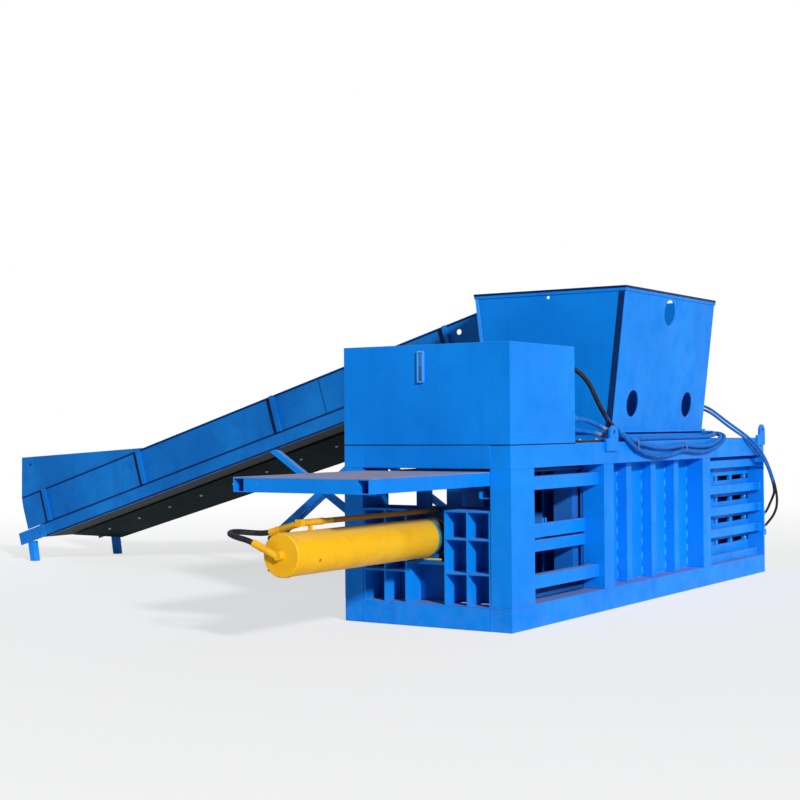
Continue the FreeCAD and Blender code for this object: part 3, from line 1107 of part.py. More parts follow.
# Side and lock hose points with z from the frame's top, and each tie's x with its two hose heights
SIDE_HOSES = [
    [(1306, 290, 662), (1371, 290, 662), (1433, 268, 650), (1482, 228, 622), (1512, 168, 575),
     (1528, 100, 495), (1572, 62, 375), (1646, 50, 286), (1747, 42, 193), (1856, 22, 112),
     (1950, -10, 52), (2035, -33, 0), (2125, -38, -50), (2304, -36, -100), (2553, -35, -138),
     (2812, -35, -136), (3041, -36, -108), (3217, -36, -88), (3434, -36, -107), (3723, -35, -116),
     (3930, -36, -88), (4075, -40, -56), (4174, -44, -16), (4260, -24, 26), (4318, 38, 50),
     (4335, 116, 56), (4335, 190, 56)],
    [(1106, 50, 197), (1216, 50, 197), (1416, 58, 182), (1600, 72, 148), (1763, 82, 114),
     (1880, 74, 92), (1975, 42, 75), (2050, 4, 48), (2112, -28, 16), (2210, -38, -12),
     (2400, -36, -38), (2665, -35, -62), (2964, -36, -60), (3218, -36, -41), (3450, -36, -59),
     (3720, -35, -63), (3900, -36, -46), (4020, -37, -20), (4106, -36, 6), (4190, -10, 32),
     (4249, 44, 50), (4270, 120, 56), (4270, 190, 56)],
    [(1106, 115, 107), (1216, 115, 107), (1400, 118, 98), (1580, 122, 84), (1740, 120, 66),
     (1880, 108, 44), (2020, 86, 28), (2200, 66, 22), (2450, 61, 21.5), (2750, 63, 21.8),
     (3050, 60, 21.5), (3350, 62, 21.8), (3600, 56, 22), (3800, 36, 23), (3940, 19, 30),
     (4037, 12, 38), (4112, 18.5, 45), (4171, 58, 51), (4205, 120, 56), (4205, 190, 56)]]
LOCK_HOSES = [
    [(4240, 400, 130), (4240, 400, 198), (4262, 374, 280), (4325, 330, 330), (4408, 280, 338),
     (4490, 222, 306), (4565, 162, 245), (4645, 98, 172), (4740, 34, 102), (4850, -20, 34),
     (4980, -46, -28), (5110, -50, -90), (5235, -50, -153), (5350, -50, -223), (5455, -50, -311),
     (5560, -50, -422), (5646, -50, -538), (5702, -46, -650), (5722, -30, -750), (5712, 5, -834),
     (5672, 42, -894), (5612, 60, -935), (5547, 60, -935)],
    [(4300, 400, 130), (4300, 400, 184), (4318, 380, 252), (4368, 338, 294), (4440, 286, 300),
     (4512, 228, 268), (4584, 166, 204), (4662, 96, 126), (4752, 22, 54), (4860, -28, -10),
     (4985, -47, -70), (5112, -51, -130), (5232, -51, -191), (5342, -51, -258), (5438, -51, -338),
     (5522, -51, -430), (5582, -51, -510), (5638, -38, -576), (5682, -4, -632), (5699, 30, -695),
     (5679, 49, -750), (5638, 57, -787), (5590, 60, -800), (5547, 60, -800)]]
HOSE_TIES = ((2160, -59, 2), (3217, -88, -41))
# Round holes in the near hopper wall, from its cylinder end and from its base
HOPPER_HOLES = ((373, 233), (1600, 234), (994, 1068))

press_frame()
chamber()
entry_bay()
bulkhead()
strap_bay()
lifting_lugs()
main_cylinder()
cylinder_pipework()
ram()
platform()
tank_and_pump()
hopper()
door_lock(door())
hose_runs()
conveyor()
doc.recompute()

for thing in doc.Objects:
    if "Invalid" in thing.State or "Error" in thing.State:
        raise RuntimeError(f"{thing.Name} {thing.Label} did not build: {thing.State}")
os.makedirs("parts", exist_ok=True)
for piece in PIECES:
    if piece.Shape.isNull() or not piece.Shape.isValid():
        raise RuntimeError(f"{piece.Label} is empty or not valid")
    piece.Shape.exportStep(f"parts/{piece.Label}.step")
    box = piece.Shape.BoundBox
    print(f"{piece.Label}: {len(piece.Shape.Solids)} solids, {piece.Shape.Volume / 1e9:.4f} m3, "
          f"x {box.XMin:.0f}..{box.XMax:.0f} y {box.YMin:.0f}..{box.YMax:.0f} z {box.ZMin:.0f}..{box.ZMax:.0f}")
print(len(PIECES), "pieces")
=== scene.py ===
import json
import math
import bmesh
import bpy
import numpy as np
from mathutils import Matrix, Vector

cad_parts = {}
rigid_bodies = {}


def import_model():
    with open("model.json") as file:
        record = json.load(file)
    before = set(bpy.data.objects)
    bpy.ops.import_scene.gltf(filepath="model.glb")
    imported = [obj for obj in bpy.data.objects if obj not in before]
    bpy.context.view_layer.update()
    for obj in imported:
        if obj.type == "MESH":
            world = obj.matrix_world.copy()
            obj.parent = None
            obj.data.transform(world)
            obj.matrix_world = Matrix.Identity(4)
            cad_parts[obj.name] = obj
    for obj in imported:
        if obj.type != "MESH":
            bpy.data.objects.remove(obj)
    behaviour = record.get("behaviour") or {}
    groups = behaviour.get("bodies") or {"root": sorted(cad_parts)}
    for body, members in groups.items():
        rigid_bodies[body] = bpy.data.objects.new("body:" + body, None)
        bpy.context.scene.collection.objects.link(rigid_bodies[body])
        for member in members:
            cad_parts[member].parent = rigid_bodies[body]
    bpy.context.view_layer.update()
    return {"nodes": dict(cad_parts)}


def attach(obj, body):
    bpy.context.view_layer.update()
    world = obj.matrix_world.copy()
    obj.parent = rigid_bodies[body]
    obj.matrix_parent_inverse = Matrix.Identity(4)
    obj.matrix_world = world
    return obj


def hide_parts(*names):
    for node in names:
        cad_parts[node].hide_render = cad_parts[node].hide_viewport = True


# A horizontal recycling baler and its feed conveyor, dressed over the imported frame.
# Places are written in press millimetres: x from the cylinder end, y from the near side, z from the floor.

for leftover in list(bpy.data.objects):
    bpy.data.objects.remove(leftover)
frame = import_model()
nodes = frame["nodes"]
print("frame loaded with", len(nodes), "nodes")

pressFoot = np.array([2715.0, 760.0, 0.0])        # the frame's origin in press millimetres
conveyorHead = {"place": (2570.0, 1220.6, 2231.5), "slope": math.radians(16.74)}


def pressPoint(points):
    # press millimetres less the footprint's centre, over a thousand
    return (np.asarray(points, float) - pressFoot) / 1000


def conveyorPoint(points):
    # y runs down the slope and z square to it, both turned by the slope about the head's corner
    local = np.asarray(points, float)
    c, s = math.cos(conveyorHead["slope"]), math.sin(conveyorHead["slope"])
    x0, y0, z0 = conveyorHead["place"]
    turned = np.stack([x0 + local[..., 0], y0 + local[..., 1] * c + local[..., 2] * s,
                       z0 - local[..., 1] * s + local[..., 2] * c], -1)
    return pressPoint(turned)


conveyorDown = np.array([0, math.cos(conveyorHead["slope"]), -math.sin(conveyorHead["slope"])])
conveyorUp = np.array([0, math.sin(conveyorHead["slope"]), math.cos(conveyorHead["slope"])])


# finishes: every pattern reads Object coordinates, in metres

def startFinish(name):
    material = bpy.data.materials.new(name)
    material.use_nodes = True
    tree = material.node_tree
    tree.nodes.clear()
    out = tree.nodes.new("ShaderNodeOutputMaterial")
    shader = tree.nodes.new("ShaderNodeBsdfPrincipled")
    tree.links.new(shader.outputs["BSDF"], out.inputs["Surface"])
    place = tree.nodes.new("ShaderNodeTexCoord").outputs["Object"]
    return material, tree, shader, place


def stretched(tree, place, scale):
    mapping = tree.nodes.new("ShaderNodeMapping")
    mapping.inputs["Scale"].default_value = scale
    tree.links.new(place, mapping.inputs["Vector"])
    return mapping.outputs["Vector"]


def noise(tree, place, scale, detail=2.0, rough=0.5):
    texture = tree.nodes.new("ShaderNodeTexNoise")
    texture.inputs["Scale"].default_value = scale
    texture.inputs["Detail"].default_value = detail
    texture.inputs["Roughness"].default_value = rough
    tree.links.new(place, texture.inputs["Vector"])
    return texture.outputs["Fac"]


def spread(tree, value, low, high, least=0.0, most=1.0):
    # least at low and most at high, a straight line between, held at both ends
    change = tree.nodes.new("ShaderNodeMapRange")
    for name, number in (("From Min", low), ("From Max", high), ("To Min", least), ("To Max", most)):
        change.inputs[name].default_value = number
    tree.links.new(value, change.inputs["Value"])
    return change.outputs["Result"]


def combine(tree, how, first, second):
    sums = tree.nodes.new("ShaderNodeMath")
    sums.operation = how
    for socket, value in zip(sums.inputs, (first, second)):
        if isinstance(value, (int, float)):
            socket.default_value = value
        else:
            tree.links.new(value, socket)
    return sums.outputs["Value"]


def blendColour(tree, share, first, second):
    mix = tree.nodes.new("ShaderNodeMix")
    mix.data_type = "RGBA"
    tree.links.new(share, mix.inputs[0])
    for socket, value in ((mix.inputs[6], first), (mix.inputs[7], second)):
        if isinstance(value, tuple):
            socket.default_value = (*value, 1)
        else:
            tree.links.new(value, socket)
    return mix.outputs[2]


def axisOf(tree, vector, letter):
    parts = tree.nodes.new("ShaderNodeSeparateXYZ")
    tree.links.new(vector, parts.inputs["Vector"])
    return parts.outputs[letter]


def roughenSurface(tree, shader, place, layers):
    # a chain of bumps: a height pattern or a noise's own settings, then its strength and its depth in metres
    last = None
    for height, strength, depth in layers:
        bump = tree.nodes.new("ShaderNodeBump")
        bump.inputs["Strength"].default_value = strength
        bump.inputs["Distance"].default_value = depth
        tree.links.new(noise(tree, place, *height) if isinstance(height, tuple) else height, bump.inputs["Height"])
        if last is not None:
            tree.links.new(last, bump.inputs["Normal"])
        last = bump.outputs["Normal"]
    tree.links.new(last, shader.inputs["Normal"])


def mixShaders(tree, share, first, second, surface):
    # the second shader by the share, the first for the rest
    both = tree.nodes.new("ShaderNodeMixShader")
    for value, socket in zip((share, first, second), both.inputs):
        tree.links.new(value, socket)
    tree.links.new(both.outputs[0], surface)


def eyeRays(tree):
    # one for rays that the camera, a polished surface or clear glass sends out, none for the rest
    rays = tree.nodes.new("ShaderNodeLightPath").outputs
    return combine(tree, "MAXIMUM", combine(tree, "MAXIMUM", rays["Is Camera Ray"], rays["Is Glossy Ray"]),
                   rays["Is Transmission Ray"])


# a pattern is a noise's settings (scale, detail, roughness) and the band over which its share rises
paintPattern = {"clouds": ((1.1, 3), (0.38, 0.64)), "patches": ((5.5, 4, 0.62), (0.52, 0.72)),
                "streaks": ((1.0, 3), (0.55, 0.74)), "streakStretch": (11, 11, 0.8), "facingUp": (0.55, 0.92),
                "settled": ((7.0, 4, 0.7), (0.3, 0.6, 0.45, 1)), "splashes": ((9.0, 5, 0.7), (0.42, 0.7)),
                "splashHeight": (0.02, 0.42, 1, 0), "specks": ((62.0, 2), (0.70, 0.76)), "dullBand": (0.4, 1.2),
                "dullest": 0.85, "bumps": [((240.0, 2), 0.10, 0.0008), ((3.2, 2), 0.35, 0.006)]}
steelPattern = {"lines": ((1.0, 3), (0.35, 0.65)), "lineDepth": (0.12, 0.0006), "film": ((4, 0.65), (0.5, 0.72)),
                "dullBand": (0.35, 0.7), "pits": ((130.0, 2), 0.08, 0.0006)}
rubberPattern = {"wear": ((24.0, 4, 0.65), (0.4, 0.7)), "rubBand": (0.35, 0.6), "driftEdge": (9.0, 3), "edgeReach": 0.5,
                 "wornDrift": (0.3, 0.62, 1, 0.62), "dullBand": (0.3, 0.7), "dullest": 0.8, "shine": 0.12,
                 "bumps": [((330.0, 2), 0.22, 0.0006), ((26.0, 2), 0.15, 0.001)]}


def paintFinish(name, look):
    # sprayed gloss paint: faded clouds, rain streaks down the walls, dust on what faces up, splashes low down
    material, tree, shader, place = startFinish(name)

    def shareOf(pattern, *limits, where=place):
        texture, band = paintPattern[pattern]
        return spread(tree, noise(tree, where, *texture), *band, *limits)

    colour = blendColour(tree, shareOf("clouds"), look["base"], look["faded"])
    texture, band = paintPattern["patches"]
    patches = noise(tree, place, *texture)
    colour = blendColour(tree, spread(tree, patches, *band, 0, look["patch"]), colour, look["grime"])
    rained = stretched(tree, place, paintPattern["streakStretch"])
    colour = blendColour(tree, shareOf("streaks", 0, look["streak"], where=rained), colour, look["grime"])
    for letter, low, high, other in look.get("zones", ()):
        edge = combine(tree, "MULTIPLY", combine(tree, "SUBTRACT", patches, 0.5), look["zoneEdge"])
        along = combine(tree, "ADD", axisOf(tree, place, letter), edge)
        colour = blendColour(tree, spread(tree, along, low, high), colour, other)
    facing = axisOf(tree, tree.nodes.new("ShaderNodeNewGeometry").outputs["Normal"], "Z")
    onTop = combine(tree, "MULTIPLY", spread(tree, facing, *paintPattern["facingUp"]), shareOf("settled"))
    splash = combine(tree, "MULTIPLY", spread(tree, axisOf(tree, place, "Z"), *paintPattern["splashHeight"]),
                     shareOf("splashes"))
    dirt = combine(tree, "MAXIMUM", combine(tree, "MULTIPLY", onTop, look["dusty"]),
                   combine(tree, "MULTIPLY", splash, look["splash"]))
    colour = blendColour(tree, dirt, colour, look["dust"])
    colour = blendColour(tree, shareOf("specks", 0, look["specks"]), colour, look["dust"])
    tree.links.new(colour, shader.inputs["Base Color"])
    shader.inputs["Specular IOR Level"].default_value = look["shine"]
    tree.links.new(spread(tree, combine(tree, "ADD", dirt, patches), *paintPattern["dullBand"], look["gloss"],
                          paintPattern["dullest"]), shader.inputs["Roughness"])
    roughenSurface(tree, shader, place, paintPattern["bumps"])
    return material


def steelFinish(name, look):
    # bare or plated metal: fine lines along one way, a duller film in patches
    material, tree, shader, place = startFinish(name)
    shader.inputs["Metallic"].default_value = look["metal"]
    (lineNoise, lineBand), (filmDetail, filmBand) = steelPattern["lines"], steelPattern["film"]
    lines = noise(tree, stretched(tree, place, look["grain"]), *lineNoise)
    film = noise(tree, place, look["patch"], *filmDetail)
    colour = blendColour(tree, spread(tree, lines, *lineBand), look["base"], look["bright"])
    colour = blendColour(tree, spread(tree, film, *filmBand, 0, look["filmed"]), colour, look["film"])
    tree.links.new(colour, shader.inputs["Base Color"])
    tree.links.new(spread(tree, film, *steelPattern["dullBand"], look["gloss"], look["dull"]),
                   shader.inputs["Roughness"])
    roughenSurface(tree, shader, place, [(lines, *steelPattern["lineDepth"]), steelPattern["pits"]])
    return material


def rubberFinish(name, look):
    # wrapped black rubber: a rubbed patch between two places along x, paint drift where its own mask is one
    material, tree, shader, place = startFinish(name)
    texture, band = rubberPattern["wear"]
    wear = noise(tree, place, *texture)
    colour = blendColour(tree, spread(tree, wear, *band), look["base"], look["worn"])
    if "rub" in look:
        along = axisOf(tree, place, "X")
        start, full, ebb, end = look["rubFrom"]
        rubbed = combine(tree, "MULTIPLY", spread(tree, along, start, full), spread(tree, along, ebb, end, 1, 0))
        rubbed = combine(tree, "MULTIPLY", rubbed, spread(tree, wear, *rubberPattern["rubBand"]))
        colour = blendColour(tree, rubbed, colour, look["rub"])
    if "drift" in look:
        waver = combine(tree, "SUBTRACT", noise(tree, place, *rubberPattern["driftEdge"]), 0.5)
        edge = combine(tree, "MULTIPLY", waver, rubberPattern["edgeReach"])
        along = combine(tree, "ADD", axisOf(tree, place, look["driftAxis"]), edge)
        mask = spread(tree, along, *look["driftFrom"])
        if "driftStop" in look:
            across = combine(tree, "ADD", axisOf(tree, place, "Y"), edge)
            mask = combine(tree, "MULTIPLY", mask, spread(tree, across, *look["driftStop"]))
        mask = combine(tree, "MULTIPLY", mask, spread(tree, wear, *rubberPattern["wornDrift"]))
        colour = blendColour(tree, mask, colour, look["drift"])
    tree.links.new(colour, shader.inputs["Base Color"])
    shader.inputs["Specular IOR Level"].default_value = rubberPattern["shine"]
    tree.links.new(spread(tree, wear, *rubberPattern["dullBand"], look["gloss"], rubberPattern["dullest"]),
                   shader.inputs["Roughness"])
    roughenSurface(tree, shader, place, rubberPattern["bumps"])
    return material


blueLook = {"base": (0.001, 0.205, 0.75), "faded": (0.003, 0.245, 0.83), "grime": (0.004, 0.085, 0.36),
            "dust": (0.25, 0.27, 0.44), "patch": 0.12, "streak": 0.14, "dusty": 0.78, "splash": 0.12,
            "specks": 0.35, "gloss": 0.36, "shine": 0.09, "zoneEdge": 0.03}
yellowLook = {**blueLook, "base": (0.83, 0.43, 0.010), "faded": (0.90, 0.52, 0.022), "grime": (0.34, 0.17, 0.02),
              "dust": (0.60, 0.44, 0.20), "patch": 0.20, "streak": 0.14, "dusty": 0.42, "splash": 0, "gloss": 0.30}
pressPaint = paintFinish("faded blue press paint", blueLook)
ramPaint = paintFinish("worn blue ram paint", {
    **blueLook, "base": (0.006, 0.13, 0.52), "faded": (0.03, 0.17, 0.5), "grime": (0.05, 0.05, 0.06), "patch": 0.45,
    "dusty": 0.85})
conveyorPaint = paintFinish("dull blue conveyor paint", {
    **blueLook, "base": (0.002, 0.125, 0.46), "faded": (0.006, 0.185, 0.60), "grime": (0.003, 0.05, 0.20),
    "dust": (0.20, 0.26, 0.42), "patch": 0.26, "streak": 0.18, "gloss": 0.40})
# near-black for the under pan: its own dark paint, darkened further as painted shade under the conveyor
panPaintWithShade = paintFinish("dark pan paint with painted shade", {
    **blueLook, "base": (0.004, 0.011, 0.013), "faded": (0.008, 0.020, 0.024), "grime": (0.003, 0.005, 0.006),
    "dust": (0.04, 0.06, 0.08), "patch": 0.4, "dusty": 0.5, "splash": 0.1, "specks": 0.5, "gloss": 0.7, "shine": 0.03})
deckPaint = paintFinish("dusty deck paint", {
    **blueLook, "base": (0.20, 0.22, 0.38), "faded": (0.27, 0.28, 0.42), "grime": (0.10, 0.11, 0.2),
    "dust": (0.36, 0.35, 0.47), "patch": 0.5, "dusty": 0.9, "splash": 0, "specks": 0.6, "gloss": 0.6})
yellowPaint = paintFinish("yellow cylinder paint", yellowLook)
# a zone is another colour past a place on one axis, over the band between its two numbers
# past x -3.94 the yellow turns tan, and darker brown from x -2.80: painted shadow of the platform over the pipe
pipePaint = paintFinish("yellow pipe paint with painted shadow", {
    **yellowLook, "patch": 0.3, "gloss": 0.42, "zoneEdge": 0.004,
    "zones": (("X", -3.942, -3.938, (0.38, 0.17, 0.020)), ("X", -2.80, -2.72, (0.20, 0.13, 0.05)))})
# near the front end a teal band, then a near-black band from x -2.72 on: the black band is painted shade where light
# doesn't reach the barrel's end
barrelPaint = paintFinish("yellow barrel paint", {
    **yellowLook, "zoneEdge": 0.012,
    "zones": (("X", -2.762, -2.742, (0.03, 0.22, 0.27)), ("X", -2.722, -2.706, (0.01, 0.02, 0.04)))})
driftPaint = paintFinish("yellow paint drift", {
    **yellowLook, "base": (0.50, 0.40, 0.03), "faded": (0.62, 0.48, 0.04), "patch": 0.5, "zoneEdge": 0.0})
# the blue paint made darker for the bulkhead, saddle, chamber floor and roof: painted shade of the inner parts
blueWithPaintedShade = paintFinish("blue paint darkened as painted shade", {
    **blueLook, "base": (0.001, 0.075, 0.32), "faded": (0.002, 0.095, 0.38), "dusty": 0.6})
# dark navy above z 2.728 along the rim's top: painted shade of the flange's dark side
rimPaint = paintFinish("rim paint with painted shade band", {
    **blueLook, "zoneEdge": 0.0, "dusty": 0.3, "zones": (("Z", 2.7275, 2.7285, (0.003, 0.014, 0.075)),)})
greyPaint = paintFinish("grey blue gland paint", {
    **blueLook, "base": (0.070, 0.105, 0.150), "faded": (0.095, 0.135, 0.185), "grime": (0.03, 0.04, 0.05),
    "patch": 0.4, "gloss": 0.4})
pumpPaint = paintFinish("dark pump paint", {
    **blueLook, "base": (0.030, 0.050, 0.075), "faded": (0.042, 0.066, 0.095), "grime": (0.015, 0.016, 0.018),
    "dust": (0.22, 0.22, 0.24), "patch": 0.4, "gloss": 0.45})
bearingPaint = paintFinish("painted bearing iron", {
    **blueLook, "base": (0.003, 0.15, 0.55), "faded": (0.01, 0.21, 0.70), "patch": 0.4, "gloss": 0.5})
# dark navy for seams and for painted shadow: the lines under the tank, along the guards and under the hopper lip, the
# hopper's near corner, and the dark fill of a hole and of the door slots
seamAndShadowPaint = paintFinish("dark seam and painted shadow", {**blueLook, "base": (0.003, 0.018, 0.09), "faded": (0.004, 0.03, 0.13),
                                      "dusty": 0.2, "gloss": 0.6})
# a lighter blue for the weld stitches, the hopper's far corner strip and the gauge frame: painted highlight where these
# catch the light
litHighlightBlue = paintFinish("lighter blue as painted highlight", {**blueLook, "base": (0.015, 0.28, 0.88), "faded": (0.06, 0.36, 0.92),
                                         "dusty": 0.9, "patch": 0.2, "specks": 0.8})
steelLook = {"metal": 0.85, "base": (0.34, 0.33, 0.32), "bright": (0.52, 0.51, 0.50), "film": (0.20, 0.15, 0.11),
             "grain": (2.5, 70, 70), "patch": 6.0, "filmed": 0.6, "gloss": 0.32, "dull": 0.62}
wornSteel = steelFinish("worn bare steel", steelLook)
chromeSteel = steelFinish("polished rod chrome", {**steelLook, "metal": 1.0, "base": (0.62, 0.63, 0.65),
                          "bright": (0.78, 0.79, 0.80), "film": (0.30, 0.27, 0.2), "filmed": 0.2, "gloss": 0.08,
                          "dull": 0.25})
boltSteel = steelFinish("dull bolt steel", {**steelLook, "grain": (60, 60, 60), "patch": 40.0, "gloss": 0.38})
valveSteel = steelFinish("plain valve steel", {**steelLook, "base": (0.30, 0.31, 0.33), "grain": (40, 40, 6),
                         "patch": 14.0})
bandSteel = steelFinish("dull tie band", {**steelLook, "base": (0.05, 0.13, 0.30), "bright": (0.12, 0.22, 0.42),
                        "metal": 0.4, "grain": (90, 90, 90), "patch": 30.0})
rubberLook = {"base": (0.010, 0.011, 0.014), "worn": (0.030, 0.032, 0.04), "gloss": 0.42}
blackRubber = rubberFinish("black hose rubber", {**rubberLook, "worn": (0.030, 0.032, 0.038)})
longHoseRubber = rubberFinish("long hose with paint drift", {**rubberLook, "drift": (0.002, 0.150, 0.60),
                              "driftAxis": "X", "driftFrom": (-1.0, -0.74)})
pairHoseRubber = rubberFinish("pair hose blue with a worn patch", {
    "base": (0.004, 0.125, 0.48), "worn": (0.02, 0.18, 0.62), "gloss": 0.45, "rub": (0.30, 0.30, 0.40),
    "rubFrom": (-1.10, -1.00, -0.92, -0.82)})
lockHoseRubber = rubberFinish("lock hose with paint drift", {**rubberLook, "drift": (0.004, 0.17, 0.64),
                              "driftAxis": "Z", "driftFrom": (0.86, 1.02), "driftStop": (-0.42, -0.56)})
beltRubber = rubberFinish("dusty belt rubber", {"base": (0.014, 0.018, 0.018), "worn": (0.045, 0.052, 0.055),
                                                "gloss": 0.6})
print("finishes made:", len(bpy.data.materials))


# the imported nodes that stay: a finish each, and broken edges
# each finish with its stout nodes, then its thin ones, whose edges are broken less
nodeFinish = (
    (pressPaint, "bottom_beams top_beams frame_posts side_wall_plates side_ribs entry_window_bars middle_tie_bars "
                 "outer_strap_bars lifting_lugs oil_tank discharge_door conveyor_supports",
     "bulkhead_rib_grids near_release_wall far_release_wall platform_frame platform_brackets hopper_end_walls "
     "hopper_side_walls hopper_collar outlet_brackets door_lock_bar"),
    (blueWithPaintedShade, "cylinder_bulkhead cylinder_saddle chamber_floor", "chamber_roof"),
    (ramPaint, "ram_face_plate ram_body ram_cover_plate ram_tail_beams", ""),
    (wornSteel, "head_drum tail_drum", "belt_slider_bed piston"),
    (yellowPaint, "cylinder_end_cap", "cap_port_fitting"), (greyPaint, "cylinder_gland", "lock_cylinder"),
    (bearingPaint, "", "hinge_pins drum_bearings"), (chromeSteel, "", "lock_cylinder_rod piston_rod"),
    (barrelPaint, "", "cylinder_barrel"), (pipePaint, "", "oil_pipe"), (valveSteel, "", "valve_blocks"),
    (rimPaint, "", "hopper_rim"), (deckPaint, "", "platform_deck"), (beltRubber, "", "conveyor_belt"),
    (conveyorPaint, "", "conveyor_chassis conveyor_side_guards"), (panPaintWithShade, "", "conveyor_under_pan"))
edgeBreak = {"stout": 0.0045, "thin": 0.0012, "steps": 2, "corner": math.radians(38), "newCorner": math.radians(40)}


def roundEdges(piece, width, corner):
    # a narrow round along every edge that turns by more than the corner angle
    bevel = piece.modifiers.new("broken edge", "BEVEL")
    bevel.width, bevel.segments = width, edgeBreak["steps"]
    bevel.limit_method, bevel.angle_limit = "ANGLE", corner


def breakEdges(piece, width):
    # the shared corners joined first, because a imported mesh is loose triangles
    weld = piece.modifiers.new("weld", "WELD")
    weld.merge_threshold = 0.00001
    roundEdges(piece, width, edgeBreak["corner"])


for finish, stout, thin in nodeFinish:
    for name in (stout + " " + thin).split():
        node = nodes[name]
        if not node.material_slots:
            node.data.materials.append(finish)
        for held in node.material_slots:
            held.material = finish
        breakEdges(node, edgeBreak["thin" if name in thin.split() else "stout"])
print("nodes finished:", sum(len((stout + " " + thin).split()) for finish, stout, thin in nodeFinish))


# shapes: each gives its points and its faces

def unit(vector):
    vector = np.asarray(vector, float)
    return vector / np.linalg.norm(vector)


def squareTo(axis):
    # two unit vectors square to the axis and to each other
    side = unit(np.cross(axis, (0.0, 0.0, 1.0) if abs(axis[2]) < 0.9 else (0.0, 1.0, 0.0)))
    return side, np.cross(axis, side)


def ringWalls(rings, count, closed=False):
    # a quad between neighbouring points of neighbouring rings; closed rings end at the first one again
    row, col = (grid.ravel() for grid in np.meshgrid(np.arange(rings if closed else rings - 1),
                                                     np.arange(count), indexing="ij"))
    below, after = (row + 1) % rings, (col + 1) % count
    return np.stack([row * count + col, row * count + after, below * count + after, below * count + col], -1)


def cappedFaces(rings, count):
    # the walls of a stack of rings, with a fan to each of the two closing points that follow them
    around = np.arange(count)
    following = (around + 1) % count
    first, last = np.full(count, rings * count), np.full(count, rings * count + 1)
    far = (rings - 1) * count
    caps = np.concatenate([np.stack([first, following, around], -1),
                           np.stack([last, around + far, following + far], -1)])
    return ringWalls(rings, count).tolist() + caps.tolist()


def turnedShape(profile, foot, axis, count, outline=None):
    # rings about an axis: foot + t axis + r(t) q(a) (cos a side + sin a up), each end closed on the axis
    axis = unit(axis)
    side, up = squareTo(axis)
    along = np.array(profile, float)
    if outline is None:
        outline = np.linspace(0, 2 * np.pi, count, endpoint=False), np.ones(count)
    angle, reach = outline
    spoke = reach[:, None] * (np.cos(angle)[:, None] * side + np.sin(angle)[:, None] * up)
    rings = foot + along[:, 0][:, None, None] * axis + along[:, 1][:, None, None] * spoke
    ends = np.stack([foot + along[0, 0] * axis, foot + along[-1, 0] * axis])
    return np.concatenate([rings.reshape(-1, 3), ends]), cappedFaces(len(rings), len(angle))


def panelShape(centre, across, up, width, height, corner, steps):
    # nested rounded rectangles: step (inset, lift) shrinks the outline by the inset and raises it along the normal
    across, up = unit(across), unit(up)
    out = np.cross(across, up)
    quarterTurn = np.linspace(0, np.pi / 2, 5)
    angle = (np.arange(4)[:, None] * np.pi / 2 + quarterTurn).ravel()
    quarter = np.repeat(np.arange(4), 5)
    signX, signY = np.where((quarter == 0) | (quarter == 3), 1, -1), np.where(quarter < 2, 1, -1)
    inset, lift = np.array(steps, float).T
    cornerLeft = np.maximum(corner - inset, 0.0004)
    x = signX * (width / 2 - inset[:, None] - cornerLeft[:, None]) + cornerLeft[:, None] * np.cos(angle)
    y = signY * (height / 2 - inset[:, None] - cornerLeft[:, None]) + cornerLeft[:, None] * np.sin(angle)
    points = centre + x[..., None] * across + y[..., None] * up + lift[:, None, None] * out
    middle = np.stack([centre + lift[0] * out, centre + lift[-1] * out])
    return np.concatenate([points.reshape(-1, 3), middle]), cappedFaces(*x.shape)


def loopShape(path, sides, section):
    # a closed path whose every point carries the same closed section: path + u side + v normal
    ahead = np.roll(path, -1, 0) - np.roll(path, 1, 0)
    ahead /= np.linalg.norm(ahead, axis=1)[:, None]
    normal = np.cross(ahead, sides)
    points = path[:, None] + section[None, :, :1] * sides[:, None] + section[None, :, 1:] * normal[:, None]
    return points.reshape(-1, 3), ringWalls(len(path), len(section), closed=True).tolist()


def ringShape(centre, axis, radius, thickness, ripples, count=96):
    # a rippled torus: radius R about the axis, section radius p = thickness (0.84 + 0.16 |sin(n a / 2)|)
    axis = unit(axis)
    side, up = squareTo(axis)
    angle = np.linspace(0, 2 * np.pi, count, endpoint=False)
    spoke = np.cos(angle)[:, None] * side + np.sin(angle)[:, None] * up
    section = np.linspace(0, 2 * np.pi, 8, endpoint=False)
    fat = thickness * (0.84 + 0.16 * np.abs(np.sin(ripples * angle / 2)))
    points = centre + (radius + fat[:, None] * np.cos(section))[..., None] * spoke[:, None] + \
        (fat[:, None] * np.sin(section))[..., None] * axis
    return points.reshape(-1, 3), ringWalls(count, 8, closed=True)[:, [0, 3, 2, 1]].tolist()


def beadShape(start, end, radius, ripple):
    # a weld bead: radius r (0.84 + 0.16 |sin(pi t / ripple)|) along a straight line, tapered at both ends
    start, end = np.asarray(start, float), np.asarray(end, float)
    length = np.linalg.norm(end - start)
    t = np.linspace(0, length, max(5, int(length / ripple * 4)))
    r = radius * (0.84 + 0.16 * np.abs(np.sin(np.pi * t / ripple)))
    r[0] = r[-1] = radius * 0.35
    return turnedShape(np.stack([t, r], -1), start, end - start, 6)


def barShape(start, end, across, width, thick):
    # a flat bar: a width by thickness rectangle carried from start to end, the width along across
    start, end = np.asarray(start, float), np.asarray(end, float)
    across = unit(across)
    out = unit(np.cross(end - start, across))
    corner = np.array([(-1, -1), (1, -1), (1, 1), (-1, 1)]) / 2 * (width, thick)
    ring = corner[:, :1] * across + corner[:, 1:] * out
    points = np.concatenate([start + ring, end + ring])
    return points, [[0, 3, 2, 1], [4, 5, 6, 7], [0, 1, 5, 4], [1, 2, 6, 5], [2, 3, 7, 6], [3, 0, 4, 7]]


